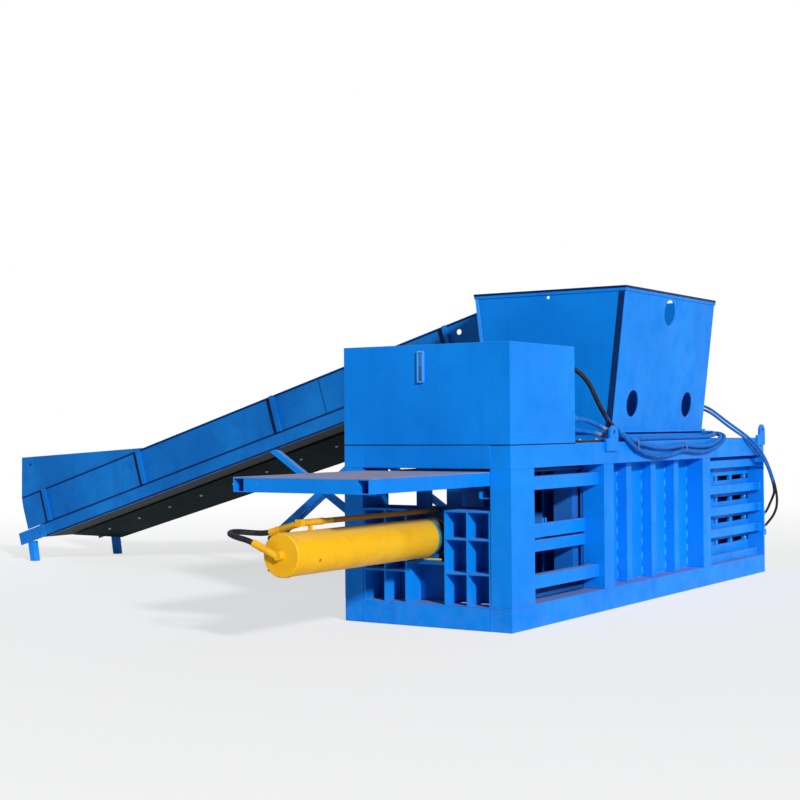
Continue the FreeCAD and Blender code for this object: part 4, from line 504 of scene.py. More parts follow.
def boltShape(foot, axis, size):
    # a washer and a six-sided head with a turned chamfer, sized by the head's radius across corners
    washer = turnedShape([(0, size * 1.28), (size * 0.14, size * 1.28), (size * 0.2, size * 1.2)], foot, axis, 14)
    head = turnedShape([(size * 0.1, size), (size * 0.72, size), (size * 0.84, size * 0.88)], foot, axis, 6)
    return [washer, head]


def addObject(name, data):
    item = bpy.data.objects.new(name, data)
    bpy.context.scene.collection.objects.link(item)
    return item


def buildPiece(name, shapes, finish, body="frame", smooth=False, softened=0.0):
    # one mesh from several closed shapes, in the frame's own metres
    points, faces, shift = [], [], 0
    for shapePoints, shapeFaces in shapes:
        points.append(shapePoints)
        faces += [[corner + shift for corner in face] for face in shapeFaces]
        shift += len(shapePoints)
    mesh = bpy.data.meshes.new(name)
    mesh.from_pydata(np.concatenate(points).tolist(), [], faces)
    mesh.polygons.foreach_set("use_smooth", np.full(len(mesh.polygons), smooth))
    mesh.materials.append(finish)
    mesh.update()
    piece = addObject(name, mesh)
    if softened:
        roundEdges(piece, softened, edgeBreak["newCorner"])
    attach(piece, body)
    return piece


# walls with their round openings
hopperHoles = {"places": ((2443, 1733), (3670, 1734), (3064, 2568)), "radius": 0.118, "reach": 0.12}
guardHole = {"place": (0, 671.7, 431), "radius": 0.027, "reach": 0.03}


def openedCopy(name, nodeName, cutters, finish):
    # the node's own shape with its corners joined, less the round cutters, kept as one plain mesh
    whole = bmesh.new()
    whole.from_mesh(nodes[nodeName].data)
    bmesh.ops.remove_doubles(whole, verts=whole.verts, dist=0.00001)
    mesh = bpy.data.meshes.new(name + "Blank")
    whole.to_mesh(mesh)
    whole.free()
    blank = addObject(name + "Blank", mesh)
    tools = []
    for points, faces in cutters:
        toolMesh = bpy.data.meshes.new(name + "Tool")
        toolMesh.from_pydata(points.tolist(), [], faces)
        tool = addObject(name + "Tool", toolMesh)
        cut = blank.modifiers.new("opening", "BOOLEAN")
        cut.operation, cut.solver, cut.object = "DIFFERENCE", "EXACT", tool
        cut.use_self = cut.use_hole_tolerant = True
        tools.append(tool)
    bpy.context.view_layer.update()
    opened = bpy.data.meshes.new_from_object(blank.evaluated_get(bpy.context.evaluated_depsgraph_get()))
    for spare in (*tools, blank):
        bpy.data.objects.remove(spare)
    opened.name = name
    opened.materials.clear()
    opened.materials.append(finish)
    opened.polygons.foreach_set("material_index", np.zeros(len(opened.polygons), int))
    opened.polygons.foreach_set("use_smooth", np.zeros(len(opened.polygons), bool))
    piece = addObject(name, opened)
    breakEdges(piece, edgeBreak["thin"])
    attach(piece, "frame")
    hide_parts(nodeName)


def plugShape(middle, axis, radius, reach):
    # a plain round cutter reaching equally both ways
    return turnedShape([(-reach, radius), (reach, radius)], middle, axis, 48)


openedCopy("hopperSideWalls", "hopper_side_walls",
           [plugShape(pressPoint((x, 90, z)), (0, 1, 0), hopperHoles["radius"], hopperHoles["reach"])
            for x, z in hopperHoles["places"]], pressPaint)
openedCopy("conveyorSideGuards", "conveyor_side_guards",
           [plugShape(conveyorPoint(guardHole["place"]), (1, 0, 0), guardHole["radius"], guardHole["reach"])],
           conveyorPaint)
print("walls opened")


# hydraulic hoses
hoseLook = {"steps": 10, "roundness": 5, "sleeve": 0.062, "crimp": 0.0045, "fullSize": 0.04, "wall": 0.11,
            "crimped": (0.18, 0.9, 0.144), "nutSize": 0.74, "nut": ((0.42, 0.9), (0.38, 1), (0.2, 1), (0.15, 0.9))}
longHose = [(1306, 290, 2062), (1371, 290, 2062), (1433, 268, 2050), (1482, 228, 2022), (1512, 168, 1975),
            (1528, 100, 1895), (1572, 62, 1775), (1646, 50, 1686), (1747, 42, 1593), (1856, 22, 1512),
            (1950, -10, 1452), (2035, -33, 1400), (2125, -38, 1350), (2304, -36, 1300), (2553, -35, 1262),
            (2812, -35, 1264), (3041, -36, 1292), (3217, -36, 1312), (3434, -36, 1293), (3723, -35, 1284),
            (3930, -36, 1312), (4075, -40, 1344), (4174, -44, 1384), (4260, -24, 1426), (4318, 38, 1450),
            (4335, 116, 1456), (4335, 190, 1456)]
upperPairHose = [(1106, 50, 1597), (1216, 50, 1597), (1416, 58, 1582), (1600, 72, 1548), (1763, 82, 1514),
                 (1880, 74, 1492), (1975, 42, 1475), (2050, 4, 1448), (2112, -28, 1416), (2210, -38, 1388),
                 (2400, -36, 1362), (2665, -35, 1338), (2964, -36, 1340), (3218, -36, 1359), (3450, -36, 1341),
                 (3720, -35, 1337), (3900, -36, 1354), (4020, -37, 1380), (4106, -36, 1406), (4190, -10, 1432),
                 (4249, 44, 1450), (4270, 120, 1456), (4270, 190, 1456)]
lowerPairHose = [(1106, 115, 1507), (1216, 115, 1507), (1400, 118, 1498), (1580, 122, 1484), (1740, 120, 1466),
                 (1880, 108, 1444), (2020, 86, 1428), (2200, 66, 1422), (2450, 61, 1421.5), (2750, 63, 1421.8),
                 (3050, 60, 1421.5), (3350, 62, 1421.8), (3600, 56, 1422), (3800, 36, 1423), (3940, 19, 1430),
                 (4037, 12, 1438), (4112, 18.5, 1445), (4171, 58, 1451), (4205, 120, 1456), (4205, 190, 1456)]
outerLockHose = [(4240, 400, 1530), (4240, 400, 1598), (4262, 374, 1680), (4325, 330, 1730), (4408, 280, 1738),
                 (4490, 222, 1706), (4565, 162, 1645), (4645, 98, 1572), (4740, 34, 1502), (4850, -20, 1434),
                 (4980, -46, 1372), (5110, -50, 1310), (5235, -50, 1247), (5350, -50, 1177), (5455, -50, 1089),
                 (5560, -50, 978), (5646, -50, 862), (5702, -46, 750), (5722, -30, 650), (5712, 5, 566),
                 (5672, 42, 506), (5612, 60, 465), (5547, 60, 465)]
innerLockHose = [(4300, 400, 1530), (4300, 400, 1584), (4318, 380, 1652), (4368, 338, 1694), (4440, 286, 1700),
                 (4512, 228, 1668), (4584, 166, 1604), (4662, 96, 1526), (4752, 22, 1454), (4860, -28, 1390),
                 (4985, -47, 1330), (5112, -51, 1270), (5232, -51, 1209), (5342, -51, 1142), (5438, -51, 1062),
                 (5522, -51, 970), (5582, -51, 890), (5638, -38, 824), (5682, -4, 768), (5699, 30, 705),
                 (5679, 49, 650), (5638, 57, 613), (5590, 60, 600), (5547, 60, 600)]
capHosePoints = [(-1850, 895, 740), (-1862.8, 980, 780.4), (-1894, 1066.6, 802.8), (-1865.3, 1153.7, 819.4),
                 (-1790.6, 1205.8, 827.4), (-1698.5, 1203.6, 824.4), (-1624.9, 1145.3, 812.8), (-1590, 1041.8, 810.6),
                 (-1590, 957, 834)]


def layHose(name, route, diameter, finish, node, sleeveFinish):
    # one open spline through the route's own points, carrying a round section of the hose's diameter
    places = pressPoint(route)
    curve = bpy.data.curves.new(name, "CURVE")
    curve.dimensions = "3D"
    spline = curve.splines.new("NURBS")
    spline.points.add(len(places) - 1)
    spline.points.foreach_set("co", np.c_[places, np.ones(len(places))].ravel())
    spline.order_u = 3
    spline.use_endpoint_u = True
    curve.resolution_u = hoseLook["steps"]
    curve.bevel_depth = diameter / 2
    curve.bevel_resolution = hoseLook["roundness"]
    curve.use_fill_caps = True
    curve.materials.append(finish)
    hose = addObject(name, curve)
    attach(hose, "frame")
    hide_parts(node)
    # crimped sleeves: radius r = hose + wall - crimp |sin| over the sleeve's length, one at each end
    wall, nut, size = diameter * hoseLook["wall"], diameter * hoseLook["nutSize"], hoseLook["fullSize"]
    long, crimp = hoseLook["sleeve"] * diameter / size, hoseLook["crimp"] * diameter / size
    first, last, pitch = hoseLook["crimped"]
    t = np.linspace(0, long, 43)
    crimped = (t > long * first) & (t < long * last)
    groove = np.where(crimped, np.abs(np.sin(np.pi * (t - long * first) / (long * pitch))), 0)
    r = diameter / 2 + wall + crimp * 0.4 - crimp * (1 - groove) * crimped
    r = np.maximum(r, diameter / 2 + wall * 0.35)
    profile = [(-long * 0.1, diameter / 2 + wall), *zip(t, r), (long, diameter / 2 + wall * 0.1)]
    nutProfile = [(-long * back, nut * wide) for back, wide in hoseLook["nut"]]
    shapes = []
    for end, towards in ((places[0], places[1]), (places[-1], places[-2])):
        shapes.append(turnedShape(profile, end, towards - end, 28))
        shapes.append(turnedShape(nutProfile, end, towards - end, 6))
    sleeves = buildPiece(name + "Sleeves", shapes, sleeveFinish)


layHose("longSideHose", longHose, 0.040, longHoseRubber, "side_hoses", bearingPaint)
layHose("upperPairHose", upperPairHose, 0.040, pairHoseRubber, "side_hoses", bearingPaint)
layHose("lowerPairHose", lowerPairHose, 0.040, pairHoseRubber, "side_hoses", bearingPaint)
layHose("outerLockHose", outerLockHose, 0.026, lockHoseRubber, "lock_hoses", bearingPaint)
layHose("innerLockHose", innerLockHose, 0.026, lockHoseRubber, "lock_hoses", bearingPaint)
layHose("capHose", capHosePoints, 0.040, blackRubber, "cap_hose", yellowPaint)

tieLook = {"places": ((2160, -38.0, -33.0, 1341, 1402), (3217, -36.0, -36.0, 1312, 1359)), "grip": 21.5,
           "band": 18.0, "thick": 2.4, "foot": (0.03, 0.05, 0.004, [(0.0, -0.013), (0.0, 0.004), (0.002, 0.006)]),
           "buckle": (0.024, 0.018, 0.003, [(0.0, -0.003), (0.0, 0.003), (0.0015, 0.0045)])}


def tieShapes(x, lowY, highY, low, high):
    # a band round two hoses: a half turn over the upper centre, a half turn under the lower one
    grip = tieLook["grip"] + tieLook["thick"] / 2
    angle = np.linspace(0, 2 * np.pi, 48, endpoint=False)
    upper = np.sin(angle) >= 0
    path = np.stack([np.full(48, x), np.where(upper, highY, lowY) + grip * np.cos(angle),
                     np.where(upper, high, low) + grip * np.sin(angle)], -1)
    half, thick = tieLook["band"] / 2000, tieLook["thick"] / 2000
    section = np.array([(-half, -thick), (half, -thick), (half, thick), (-half, thick)])
    band = loopShape(pressPoint(path), np.tile((1.0, 0.0, 0.0), (48, 1)), section)
    middle, buckleY = (low + high) / 2, (lowY + highY) / 2 - tieLook["grip"] - 3.2
    foot = panelShape(pressPoint((x, -12, middle)), (1, 0, 0), (0, 0, 1), *tieLook["foot"])
    buckle = panelShape(pressPoint((x, buckleY, middle)), (1, 0, 0), (0, 0, 1), *tieLook["buckle"])
    return [band, foot, buckle]


ties = buildPiece("hoseTieBands", [shape for spot in tieLook["places"] for shape in tieShapes(*spot)],
                  bandSteel, softened=0.0006)
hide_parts("hose_ties")
print("hoses laid")


# welds, seams and painted shadow lines
weldLook = {"leg": 0.0065, "ripple": 0.011, "flush": 0.0036, "stitch": 0.0085, "tieSeam": (0.0024, 0.02),
            "tankShadowLine": (0.0052, 0.03), "ribs": (2190, 2295, 2710, 2815, 3230, 3335, 3750),
            "sides": ((0, -1), (1520, 1)), "walls": (170, 1350), "levels": (180, 1220), "bayGap": 10,
            "bays": ((1775, 2190), (2295, 2710), (2815, 3230), (3335, 3750)),
            "posts": ((6, 359), (1591, 1769), (3756, 3934), (5408, 5426)),
            "stitchFoot": 205, "stitchPitch": 128, "stitchLength": 64, "stitches": 8,
            "windowPosts": (365, 1585), "windowRuns": ((284, 380), (1049, 1145)), "windowInset": 60,
            "barPosts": (3940, 5405), "barLevels": (466.5, 679.5, 892.5, 1147), "barInset": 75, "barHalf": 36,
            "lugs": ((1606, 1820), (5195, 5409)), "lugLevel": 1326, "ends": (180, 1340), "endRuns": (6, 1226),
            "endLength": 168, "endSeam": (186, 1214), "tank": (1066, 1520, 1400)}


def pressBead(start, end, radius, ripple=weldLook["ripple"]):
    # a weld bead between two places given in press millimetres
    return beadShape(pressPoint(start), pressPoint(end), radius, ripple)


leg, flush = weldLook["leg"], weldLook["flush"]
stitches, runs, seams = [], [], []
for y in weldLook["walls"]:
    for x in weldLook["ribs"]:
        for step in range(weldLook["stitches"]):
            low = weldLook["stitchFoot"] + step * weldLook["stitchPitch"]
            stitches.append(pressBead((x, y, low), (x, y, low + weldLook["stitchLength"]), weldLook["stitch"]))
for (y, side), wall in zip(weldLook["sides"], weldLook["walls"]):
    inner, deep = y - side * weldLook["windowInset"], y - side * weldLook["barInset"]
    half, gap, lug = weldLook["barHalf"], weldLook["bayGap"], weldLook["lugLevel"]
    for x in weldLook["windowPosts"]:
        runs += [pressBead((x, inner, low), (x, inner, high), leg) for low, high in weldLook["windowRuns"]]
    runs += [pressBead((x0, y, z), (x1, y, z), flush) for x0, x1 in weldLook["posts"] for z in weldLook["levels"]]
    runs += [pressBead((x0 + gap, wall, z), (x1 - gap, wall, z), leg)
             for x0, x1 in weldLook["bays"] for z in weldLook["levels"]]
    for x in weldLook["barPosts"]:
        runs += [pressBead((x, deep, z - half), (x, deep, z + half), leg) for z in weldLook["barLevels"]]
    runs += [pressBead((x0, y, lug), (x1, y, lug), leg) for x0, x1 in weldLook["lugs"]]
for y in weldLook["ends"]:
    runs += [pressBead((0, y, low), (0, y, low + weldLook["endLength"]), flush) for low in weldLook["endRuns"]]
    low, high = weldLook["endSeam"]
    seams.append(pressBead((0, y, low), (0, y, high), *weldLook["tieSeam"]))
buildPiece("ribStitchWelds", stitches, litHighlightBlue, smooth=True)
buildPiece("frameWelds", runs, pressPaint, smooth=True)

# a dark bead round the tank's seat on the top beam: painted shadow line where the tank meets the beam
long, wide, seat = weldLook["tank"]
for start, end in (((0, 0), (long, 0)), ((0, 0), (0, wide)), ((0, wide), (long, wide))):
    seams.append(pressBead((*start, seat), (*end, seat), *weldLook["tankShadowLine"]))
buildPiece("seamsAndTankShadowLine", seams, seamAndShadowPaint, smooth=True)

guardLook = {"line": 0.020, "proud": 0.003, "uprights": (783, 3005, 4984, 6539), "uprightWidth": 45, "gap": 0.068,
             "sides": ((-1.5, -1), (1281.5, 1)), "lines": ((6684, 149), (6955, 529), (6684, 4)), "joint": 2405,
             "jointWidth": 0.005, "start": 4, "height": (160, 518)}
guardSeamsAndShadows = []


def darkUpStrip(x, along, width):
    # a dark line up the guard between its two long lines: the joint's seam, and beside each upright a painted shadow
    low, high = guardLook["height"]
    return barShape(conveyorPoint((x, along, low)), conveyorPoint((x, along, high)), conveyorDown, width,
                    guardLook["proud"])


# the long dark lines along the chassis top and the guard's top flange are painted shadow lines; the strips of the gap's
# width beside the uprights are painted shadow
for x, side in guardLook["sides"]:
    for long, z in guardLook["lines"]:
        guardSeamsAndShadows.append(barShape(conveyorPoint((x, guardLook["start"], z)), conveyorPoint((x, long, z)), conveyorUp,
                                   guardLook["line"], guardLook["proud"]))
    guardSeamsAndShadows.append(darkUpStrip(x + side, guardLook["joint"], guardLook["jointWidth"]))
    guardSeamsAndShadows += [darkUpStrip(x, low + guardLook["uprightWidth"] + guardLook["gap"] * 500, guardLook["gap"])
                   for low in guardLook["uprights"]]
buildPiece("guardSeamsAndShadows", guardSeamsAndShadows, seamAndShadowPaint)

cornerLook = {"foot": (155, 1502), "head": (11.6, 2703), "wall": 2068.4, "near": (0.056, 0.003),
              "nearInset": 30, "far": (0.030, 0.008), "farInset": 16, "farProud": 2,
              "ledge": ((2070, 153.4, 1474), (4120, 153.4, 1474)), "underLipShadow": (0.024, 0.003)}
(footY, footZ), (headY, headZ) = cornerLook["foot"], cornerLook["head"]
wall, nearIn, farIn = cornerLook["wall"], cornerLook["nearInset"], cornerLook["farInset"]
farWall = wall - cornerLook["farProud"]
# a dark strip down the near corner of the end wall: painted shade; and a dark bar under the collar's lip: painted
# shadow
buildPiece("hopperCornerAndLipShadows", [
    barShape(pressPoint((wall, footY + nearIn, footZ)), pressPoint((wall, headY + nearIn, headZ)), (0, 1, 0),
             *cornerLook["near"]),
    barShape(*pressPoint(cornerLook["ledge"]), (0, 0, 1), *cornerLook["underLipShadow"])], seamAndShadowPaint)
# a lighter strip down the far corner of the end wall: painted highlight on its lit edge
buildPiece("hopperFarStrip", [
    barShape(pressPoint((farWall, 1520 - footY - farIn, footZ)), pressPoint((farWall, 1520 - headY - farIn, headZ)),
             (0, 1, 0), *cornerLook["far"])], litHighlightBlue, softened=0.001)

# a ring weld is its place along x, its radius, its thickness, its ripples and its number of points
cylinderLook = {"y": 760, "z": 685, "barrel": ((-1760, 0.150, 0.0052, 150, 192), (105, 0.150, 0.0052, 150, 192),
                                               (-1806, 0.030, 0.005, 30, 96)), "gland": (199, 0.151, 0.006, 150, 192)}


def cylinderWeld(x, *sizes):
    return ringShape(pressPoint((x, cylinderLook["y"], cylinderLook["z"])), (1, 0, 0), *sizes)


buildPiece("cylinderWelds", [cylinderWeld(*ring) for ring in cylinderLook["barrel"]], yellowPaint,
           smooth=True)
buildPiece("glandWeld", [cylinderWeld(*cylinderLook["gland"])], greyPaint, smooth=True)
spotLook = {"barrel": (-1555, 616.5, 641), "barrelOut": (0, -0.956, -0.293), "tail": (-0.5, 6707, 871),
            "barrelProfile": [(-0.004, 0.010), (0.0015, 0.010), (0.0015, 0.0065), (-0.002, 0.005)],
            "tailProfile": [(-0.002, 0.015), (0.002, 0.015), (0.003, 0.012)],
            "drift": ((-0.8, 612, 524), (-0.8, 775, 524)), "driftStrip": (0.013, 0.002),
            "hooks": ((880, 205, 783), (930, 205, 783)),
            "hook": (0.022, 0.044, 0.005, [(0, -0.004), (0, 0.004), (0.0015, 0.005)])}
# a dark disc standing for a small hole in the barrel: painted shade
buildPiece("barrelHoleShade", [turnedShape(spotLook["barrelProfile"], pressPoint(spotLook["barrel"]),
                                      spotLook["barrelOut"], 20)], seamAndShadowPaint)
buildPiece("tailBoardPlug", [turnedShape(spotLook["tailProfile"], conveyorPoint(spotLook["tail"]), (-1, 0, 0), 20)],
           seamAndShadowPaint)
buildPiece("ledgePaintDrift", [barShape(*pressPoint(spotLook["drift"]), (0, 0, 1), *spotLook["driftStrip"])],
           driftPaint)
buildPiece("tieBarHooks", [panelShape(pressPoint(place), (1, 0, 0), (0, 0, 1), *spotLook["hook"])
                           for place in spotLook["hooks"]], pressPaint)
print("welds and seams run")


# bolts
boltPlan = {"slotSpacer": 13.0, "takeUp": 13.0, "spacerX": 5316, "slots": [360 + 213 * step for step in range(4)],
            "takeUps": ((6770, 73), (7040, 73)), "takeUpSides": ((-6, -1), (1286, 1)),
            "insert": (0.050, 0.005), "insertEnds": (200, 1320), "insertX": 5452}
panLook = {"bolt": 15.0, "x": 740, "across": (480, 1276), "along": (1790, 6750), "drop": (180, 85), "plate": 4,
           "first": 1900, "pitch": 500, "count": 10}


def boltSet(places, axis, size, mover=pressPoint):
    return [shape for place in places for shape in boltShape(mover(place), axis, size / 1000)]


for name, y, side, body in (("nearSpacerBolts", 170, -1, "near_release"), ("farSpacerBolts", 1350, 1, "far_release")):
    buildPiece(name, boltSet([(boltPlan["spacerX"], y, z) for z in boltPlan["slots"]], (0, side, 0),
                             boltPlan["slotSpacer"]), boltSteel, body)


def panUnderside(x, y):
    # the drop changes evenly along the pan, and is reached evenly across it, from none at its middle edge
    (near, far), (head, tail), (deep, shallow) = panLook["across"], panLook["along"], panLook["drop"]
    return -(deep - (y - head) / (tail - head) * (deep - shallow)) * (x - near) / (far - near) - panLook["plate"]


panRun = panLook["first"] + panLook["pitch"] * np.arange(panLook["count"])
panBolts = [(panLook["x"], y, panUnderside(panLook["x"], y)) for y in panRun]
buildPiece("panBolts", boltSet(panBolts, -conveyorUp, panLook["bolt"], conveyorPoint), boltSteel)
takeUpShapes = []
for x, side in boltPlan["takeUpSides"]:
    takeUpShapes += boltSet([(x, *place) for place in boltPlan["takeUps"]], (side, 0, 0), boltPlan["takeUp"],
                            conveyorPoint)
buildPiece("takeUpBolts", takeUpShapes, bearingPaint)
# flat dark sheets set back in the door's slots, so that the slots read black through the strap gaps: painted shade
buildPiece("doorSlotShadeSheets", [barShape(*(pressPoint((boltPlan["insertX"], y, z)) for y in boltPlan["insertEnds"]),
                                        (0, 0, 1), *boltPlan["insert"]) for z in boltPlan["slots"]], seamAndShadowPaint, "door")
print("bolts set")


# oil level gauge
gaugeLook = {"centre": (0, 785, 2003), "frame": (0.060, 0.248, 0.008), "glass": (0.031, 0.219, 0.006),
             "screws": (1888, 2118), "level": (2.008, 2.012),
             "frameSteps": [(0, 0), (0, 0.018), (0.003, 0.022), (0.013, 0.022), (0.015, 0.010)],
             "glassSteps": [(0, -0.001), (0, 0.002), (0.004, 0.006), (0.009, 0.008)]}
gaugeY, gaugeZ = gaugeLook["centre"][1:]
gauge = buildPiece("gaugeFrame", [panelShape(pressPoint(gaugeLook["centre"]), (0, -1, 0), (0, 0, 1),
                                             *gaugeLook["frame"], gaugeLook["frameSteps"])],
                   litHighlightBlue, softened=0.0006)
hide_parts("oil_level_gauge")


def glassFinish():
    # dark oil up to the level, paler air above, the line wavering by the noise times 4 mm
    material, tree, shader, place = startFinish("oily sight glass")
    waver = combine(tree, "MULTIPLY", noise(tree, place, 60.0, 2), 0.004)
    level = combine(tree, "ADD", axisOf(tree, place, "Z"), waver)
    colour = blendColour(tree, spread(tree, level, *gaugeLook["level"]), (0.004, 0.030, 0.12), (0.006, 0.10, 0.38))
    tree.links.new(colour, shader.inputs["Base Color"])
    shader.inputs["Roughness"].default_value = 0.08
    shader.inputs["Coat Weight"].default_value = 0.6
    roughenSurface(tree, shader, place, [((90.0, 2), 0.05, 0.0004)])
    return material


buildPiece("gaugeGlass", [panelShape(pressPoint((-10, gaugeY, gaugeZ)), (0, -1, 0), (0, 0, 1), *gaugeLook["glass"],
                                     gaugeLook["glassSteps"])], glassFinish(), smooth=True)
buildPiece("gaugeScrews", boltSet([(-22, gaugeY, z) for z in gaugeLook["screws"]], (-1, 0, 0), 4.5), boltSteel)
print("gauge made")


# pump set behind the tank
pumpSizes = {"motor": (1560, 480, 1620), "motorRadius": 0.140, "fins": 30, "pump": 430, "pumpRadius": 0.085,
             "grille": (28, 48, 68, 88), "portBolts": 0.068, "capPlace": (266.5, 1064, 2176),
             "bolts": (((-125, 125), (70, 360), 1452, 12.0), ((-155, 155), (-350, 910), 1420, 14.0),
                       ((-48, 48), (134, 266), 1810, 4.0)),
             "blocks": ((695, 1420, 0.280, 0.350, 0.012, [(0, 0), (0.0, 0.030), (0.045, 0.075), (0.06, 0.16)]),
                        (680, 1738, 0.120, 0.160, 0.012, [(0, 0), (0, 0.052), (-0.004, 0.054), (-0.004, 0.068),
                                                          (0.003, 0.072)]),
                        (760, 1400, 0.360, 1.320, 0.010, [(0, 0), (0, 0.018), (0.002, 0.020)]))}


def finOutline(count, core):
    # the radius steps from the core to the fin's top and back, four angles to each fin
    each = 2 * np.pi / count
    angle = (np.arange(count)[:, None] * each + np.array([0.0, 0.10, 0.36, 0.46]) * each).ravel()
    return angle, np.tile([core, 1.0, 1.0, core], count)


mx, my, mz = pumpSizes["motor"]
big, small = pumpSizes["motorRadius"], pumpSizes["pumpRadius"]
motorFoot, pumpFoot = pressPoint((mx, my, mz)), pressPoint((mx, my + pumpSizes["pump"], mz))


def onDeck(y, z, width, depth, corner, steps):
    # a rounded block that stands level under, on or beside the motor
    return panelShape(pressPoint((mx, y, z)), (1, 0, 0), (0, 1, 0), width, depth, corner, steps)


motorShapes = [
    turnedShape([(0.075, big), (0.345, big)], motorFoot, (0, 1, 0), 4, finOutline(pumpSizes["fins"], 0.87)),
    turnedShape([(0.0, big * 0.80), (0.006, big * 0.92), (0.030, big * 0.97), (0.075, big * 0.97), (0.082, big * 0.90)],
                motorFoot, (0, 1, 0), 48),
    turnedShape([(0.338, big * 0.88), (0.345, big * 0.98), (0.395, big * 0.98), (0.415, big * 0.80),
                 (0.430, big * 0.62)], motorFoot, (0, 1, 0), 48),
    *(onDeck(*block) for block in pumpSizes["blocks"]),
]
grille = [ringShape(pressPoint((mx, my - 0.5, mz)), (0, 1, 0), radius / 1000, 0.0022, 0, 64)
          for radius in pumpSizes["grille"]]
motor = buildPiece("pumpMotorHousing", motorShapes + grille, pumpPaint, softened=0.001)
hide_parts("pump_motor")
pumpShapes = [turnedShape([(0, small), (0.022, small), (0.026, small * 0.97), (0.026, small * 0.72),
                           (0.060, small * 0.70), (0.066, small * 0.86), (0.160, small * 0.88), (0.166, small * 0.80),
                           (0.172, small * 0.80), (0.178, small * 0.88), (0.226, small * 0.84),
                           (0.240, small * 0.66)], pumpFoot, (0, 1, 0), 56)]
for turn in np.arange(4) * np.pi / 2 + np.pi / 4:
    reach = pumpSizes["portBolts"]
    spot = pumpFoot + np.array([math.cos(turn) * reach, 0.026, math.sin(turn) * reach])
    pumpShapes += boltShape(spot, (0, 1, 0), 0.008)
pump = buildPiece("pumpCasing", pumpShapes, pumpPaint, softened=0.001)
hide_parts("hydraulic_pump")
setBolts = []
for xs, ys, level, size in pumpSizes["bolts"]:
    setBolts += boltSet([(mx + x, my + y, level) for x in xs for y in ys], (0, 0, 1), size)
buildPiece("pumpSetBolts", setBolts, boltSteel)
capFoot = pressPoint(pumpSizes["capPlace"])
capFinish = steelFinish("dusty black cap", {**steelLook, "metal": 0.0, "base": (0.012, 0.012, 0.014),
                        "bright": (0.024, 0.024, 0.027), "film": (0.10, 0.10, 0.11), "grain": (30, 30, 30)})
breather = buildPiece("breatherCap", [
    turnedShape([(0, 0.040), (0.003, 0.041), (0.005, 0.0315), (0.007, 0.0315)], capFoot, (0, 0, 1), 36),
    turnedShape([(0.006, 0.041), (0.008, 0.045), (0.018, 0.045), (0.022, 0.040), (0.023, 0.030)], capFoot, (0, 0, 1),
                4, finOutline(28, 0.95))], capFinish, softened=0.0006)
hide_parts("filler_breather")
print("pump set made")


# conveyor drive
driveLook = {"x": 1280, "along": 130, "up": 93, "fins": 22, "boltReach": 55, "boltFace": 126, "boltSize": 0.0075,
             "motorX": 65, "motorAlong": 75, "box": 0.150, "corner": 0.016,
             "boxSteps": [(0.004, 0), (0, 0.004), (0, 0.030), (0.006, 0.034), (0.006, 0.096), (0, 0.100), (0, 0.126),
                          (0.004, 0.130), (0.034, 0.130), (0.036, 0.126)],
             "flange": [(0, 0.062), (0.012, 0.062), (0.016, 0.052), (0.030, 0.050)],
             "finned": [(0.028, 0.060), (0.178, 0.060)],
             "cowl": [(0.174, 0.056), (0.180, 0.061), (0.215, 0.061), (0.230, 0.048)]}
boxX, boxAlong, boxUp = driveLook["x"], driveLook["along"], driveLook["up"]
motorStart = conveyorPoint((boxX + driveLook["motorX"], boxAlong + driveLook["motorAlong"], boxUp))
driveShapes = [
    panelShape(conveyorPoint((boxX, boxAlong, boxUp)), conveyorDown, conveyorUp, driveLook["box"], driveLook["box"],
               driveLook["corner"], driveLook["boxSteps"]),
    turnedShape(driveLook["flange"], motorStart, conveyorDown, 40),
    turnedShape(driveLook["finned"], motorStart, conveyorDown, 4, finOutline(driveLook["fins"], 0.86)),
    turnedShape(driveLook["cowl"], motorStart, conveyorDown, 40),
]
for dy in (-driveLook["boltReach"], driveLook["boltReach"]):
    for dz in (-driveLook["boltReach"], driveLook["boltReach"]):
        driveShapes += boltShape(conveyorPoint((boxX + driveLook["boltFace"], boxAlong + dy, boxUp + dz)), (1, 0, 0),
                                 driveLook["boltSize"])
drive = buildPiece("conveyorDrive", driveShapes, pumpPaint, softened=0.001)
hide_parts("conveyor_gearmotor")
print("conveyor drive made")


# studio
cameraLook = {"place": (-12.4265, -6.168, 1.538), "yaw": 0.582009, "pitch": 0.0183263, "roll": -0.0077903,
              "lens": 1490.012 * 36 / 800}
lightLook = {"sunTravel": (0.50, 0.78, -0.40), "sun": 3.4, "soft": math.radians(5), "around": 0.21,
             "aroundColour": (0.93, 0.97, 1.0)}
floorLook = {"radii": (6.0, 12.0, 25.0, 60.0, 150.0), "middle": (0, 2.5, -0.002), "count": 96, "rough": 0.9,
             "colour": (0.86, 0.87, 0.88), "fade": (5.0, 16.0, 0.62, 1.0)}


def placeCamera():
    # forward from yaw and pitch, right square to it and level, both turned by the roll
    yaw, pitch, roll = cameraLook["yaw"], cameraLook["pitch"], cameraLook["roll"]
    ahead = Vector((math.cos(yaw) * math.cos(pitch), math.sin(yaw) * math.cos(pitch), math.sin(pitch)))
    right = Vector((math.sin(yaw), -math.cos(yaw), 0))
    up = right.cross(ahead)
    rolledRight = right * math.cos(roll) + up * math.sin(roll)
    rolledUp = up * math.cos(roll) - right * math.sin(roll)
    data = bpy.data.cameras.new("studioCamera")
    data.sensor_width = 36
    data.lens = cameraLook["lens"]
    data.clip_end = 400
    camera = addObject("studioCamera", data)
    turn = Matrix((rolledRight, rolledUp, -ahead)).transposed()
    camera.matrix_world = Matrix.Translation(cameraLook["place"]) @ turn.to_4x4()
    bpy.context.scene.camera = camera


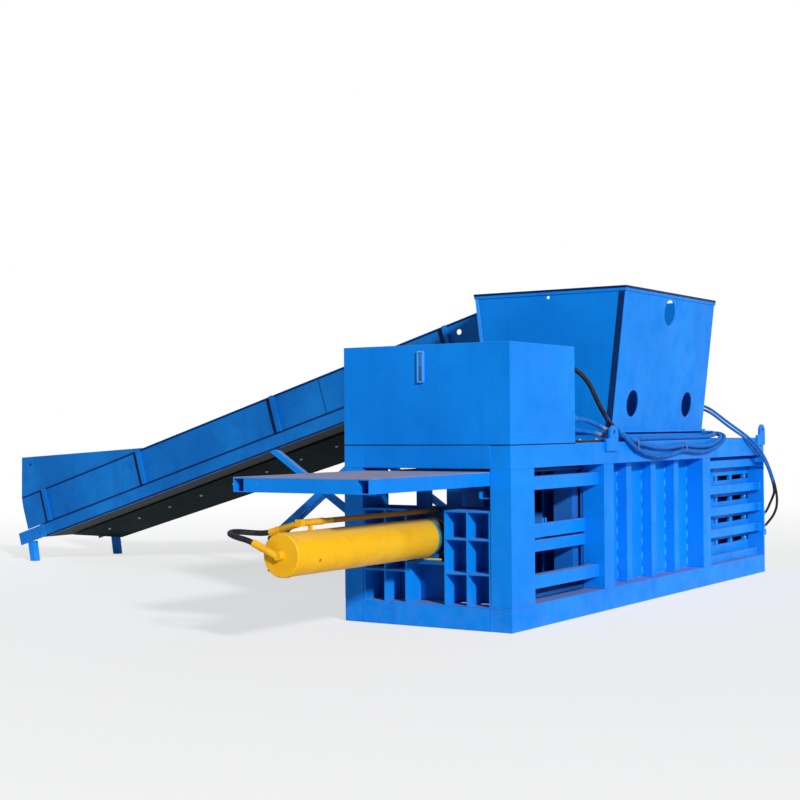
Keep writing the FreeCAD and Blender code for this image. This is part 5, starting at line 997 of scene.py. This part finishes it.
def lightStudio():
    sun = bpy.data.lights.new("softSun", "SUN")
    sun.energy = lightLook["sun"]
    sun.angle = lightLook["soft"]
    lamp = addObject("softSun", sun)
    lamp.rotation_euler = Vector(lightLook["sunTravel"]).to_track_quat("-Z", "Y").to_euler()
    world = bpy.data.worlds.new("paleRoom")
    bpy.context.scene.world = world
    world.use_nodes = True
    tree = world.node_tree
    tree.nodes.clear()
    glow, room = tree.nodes.new("ShaderNodeBackground"), tree.nodes.new("ShaderNodeBackground")
    glow.inputs["Strength"].default_value = lightLook["around"]
    glow.inputs["Color"].default_value = (*lightLook["aroundColour"], 1)
    room.inputs["Strength"].default_value = 1.0
    room.inputs["Color"].default_value = (1, 1, 1, 1)
    mixShaders(tree, eyeRays(tree), glow.outputs[0], room.outputs[0],
               tree.nodes.new("ShaderNodeOutputWorld").inputs["Surface"])


def layFloor():
    # a wide disc whose own colour gives way to plain white with distance, for the eye's rays only
    (x, y, z), count, around = floorLook["middle"], floorLook["count"], len(floorLook["radii"])
    angle = np.linspace(0, 2 * np.pi, count, endpoint=False)
    rings = np.stack([x + np.outer(floorLook["radii"], np.cos(angle)), y + np.outer(floorLook["radii"], np.sin(angle)),
                      np.full((around, count), z)], -1)
    points = np.concatenate([rings.reshape(-1, 3), [(x, y, z)]])
    quads = ringWalls(around, count)[:, [0, 3, 2, 1]]
    inner = np.arange(count)
    fan = np.stack([np.full(count, around * count), inner, (inner + 1) % count], -1)
    mesh = bpy.data.meshes.new("paleFloor")
    mesh.from_pydata(points.tolist(), [], quads.tolist() + fan.tolist())
    floor = addObject("paleFloor", mesh)
    material, tree, shader, place = startFinish("pale floor")
    shader.inputs["Base Color"].default_value = (*floorLook["colour"], 1)
    shader.inputs["Roughness"].default_value = floorLook["rough"]
    roughenSurface(tree, shader, place, [((30.0, 3), 0.05, 0.001)])
    far = tree.nodes.new("ShaderNodeVectorMath")
    far.operation = "LENGTH"
    tree.links.new(place, far.inputs[0])
    share = combine(tree, "MULTIPLY", spread(tree, far.outputs["Value"], *floorLook["fade"]), eyeRays(tree))
    out = next(item for item in tree.nodes if item.type == "OUTPUT_MATERIAL")
    mixShaders(tree, share, shader.outputs["BSDF"], tree.nodes.new("ShaderNodeEmission").outputs[0],
               out.inputs["Surface"])
    mesh.materials.append(material)


placeCamera()
lightStudio()
layFloor()
bpy.context.scene.view_settings.view_transform = "Standard"
print("studio set")
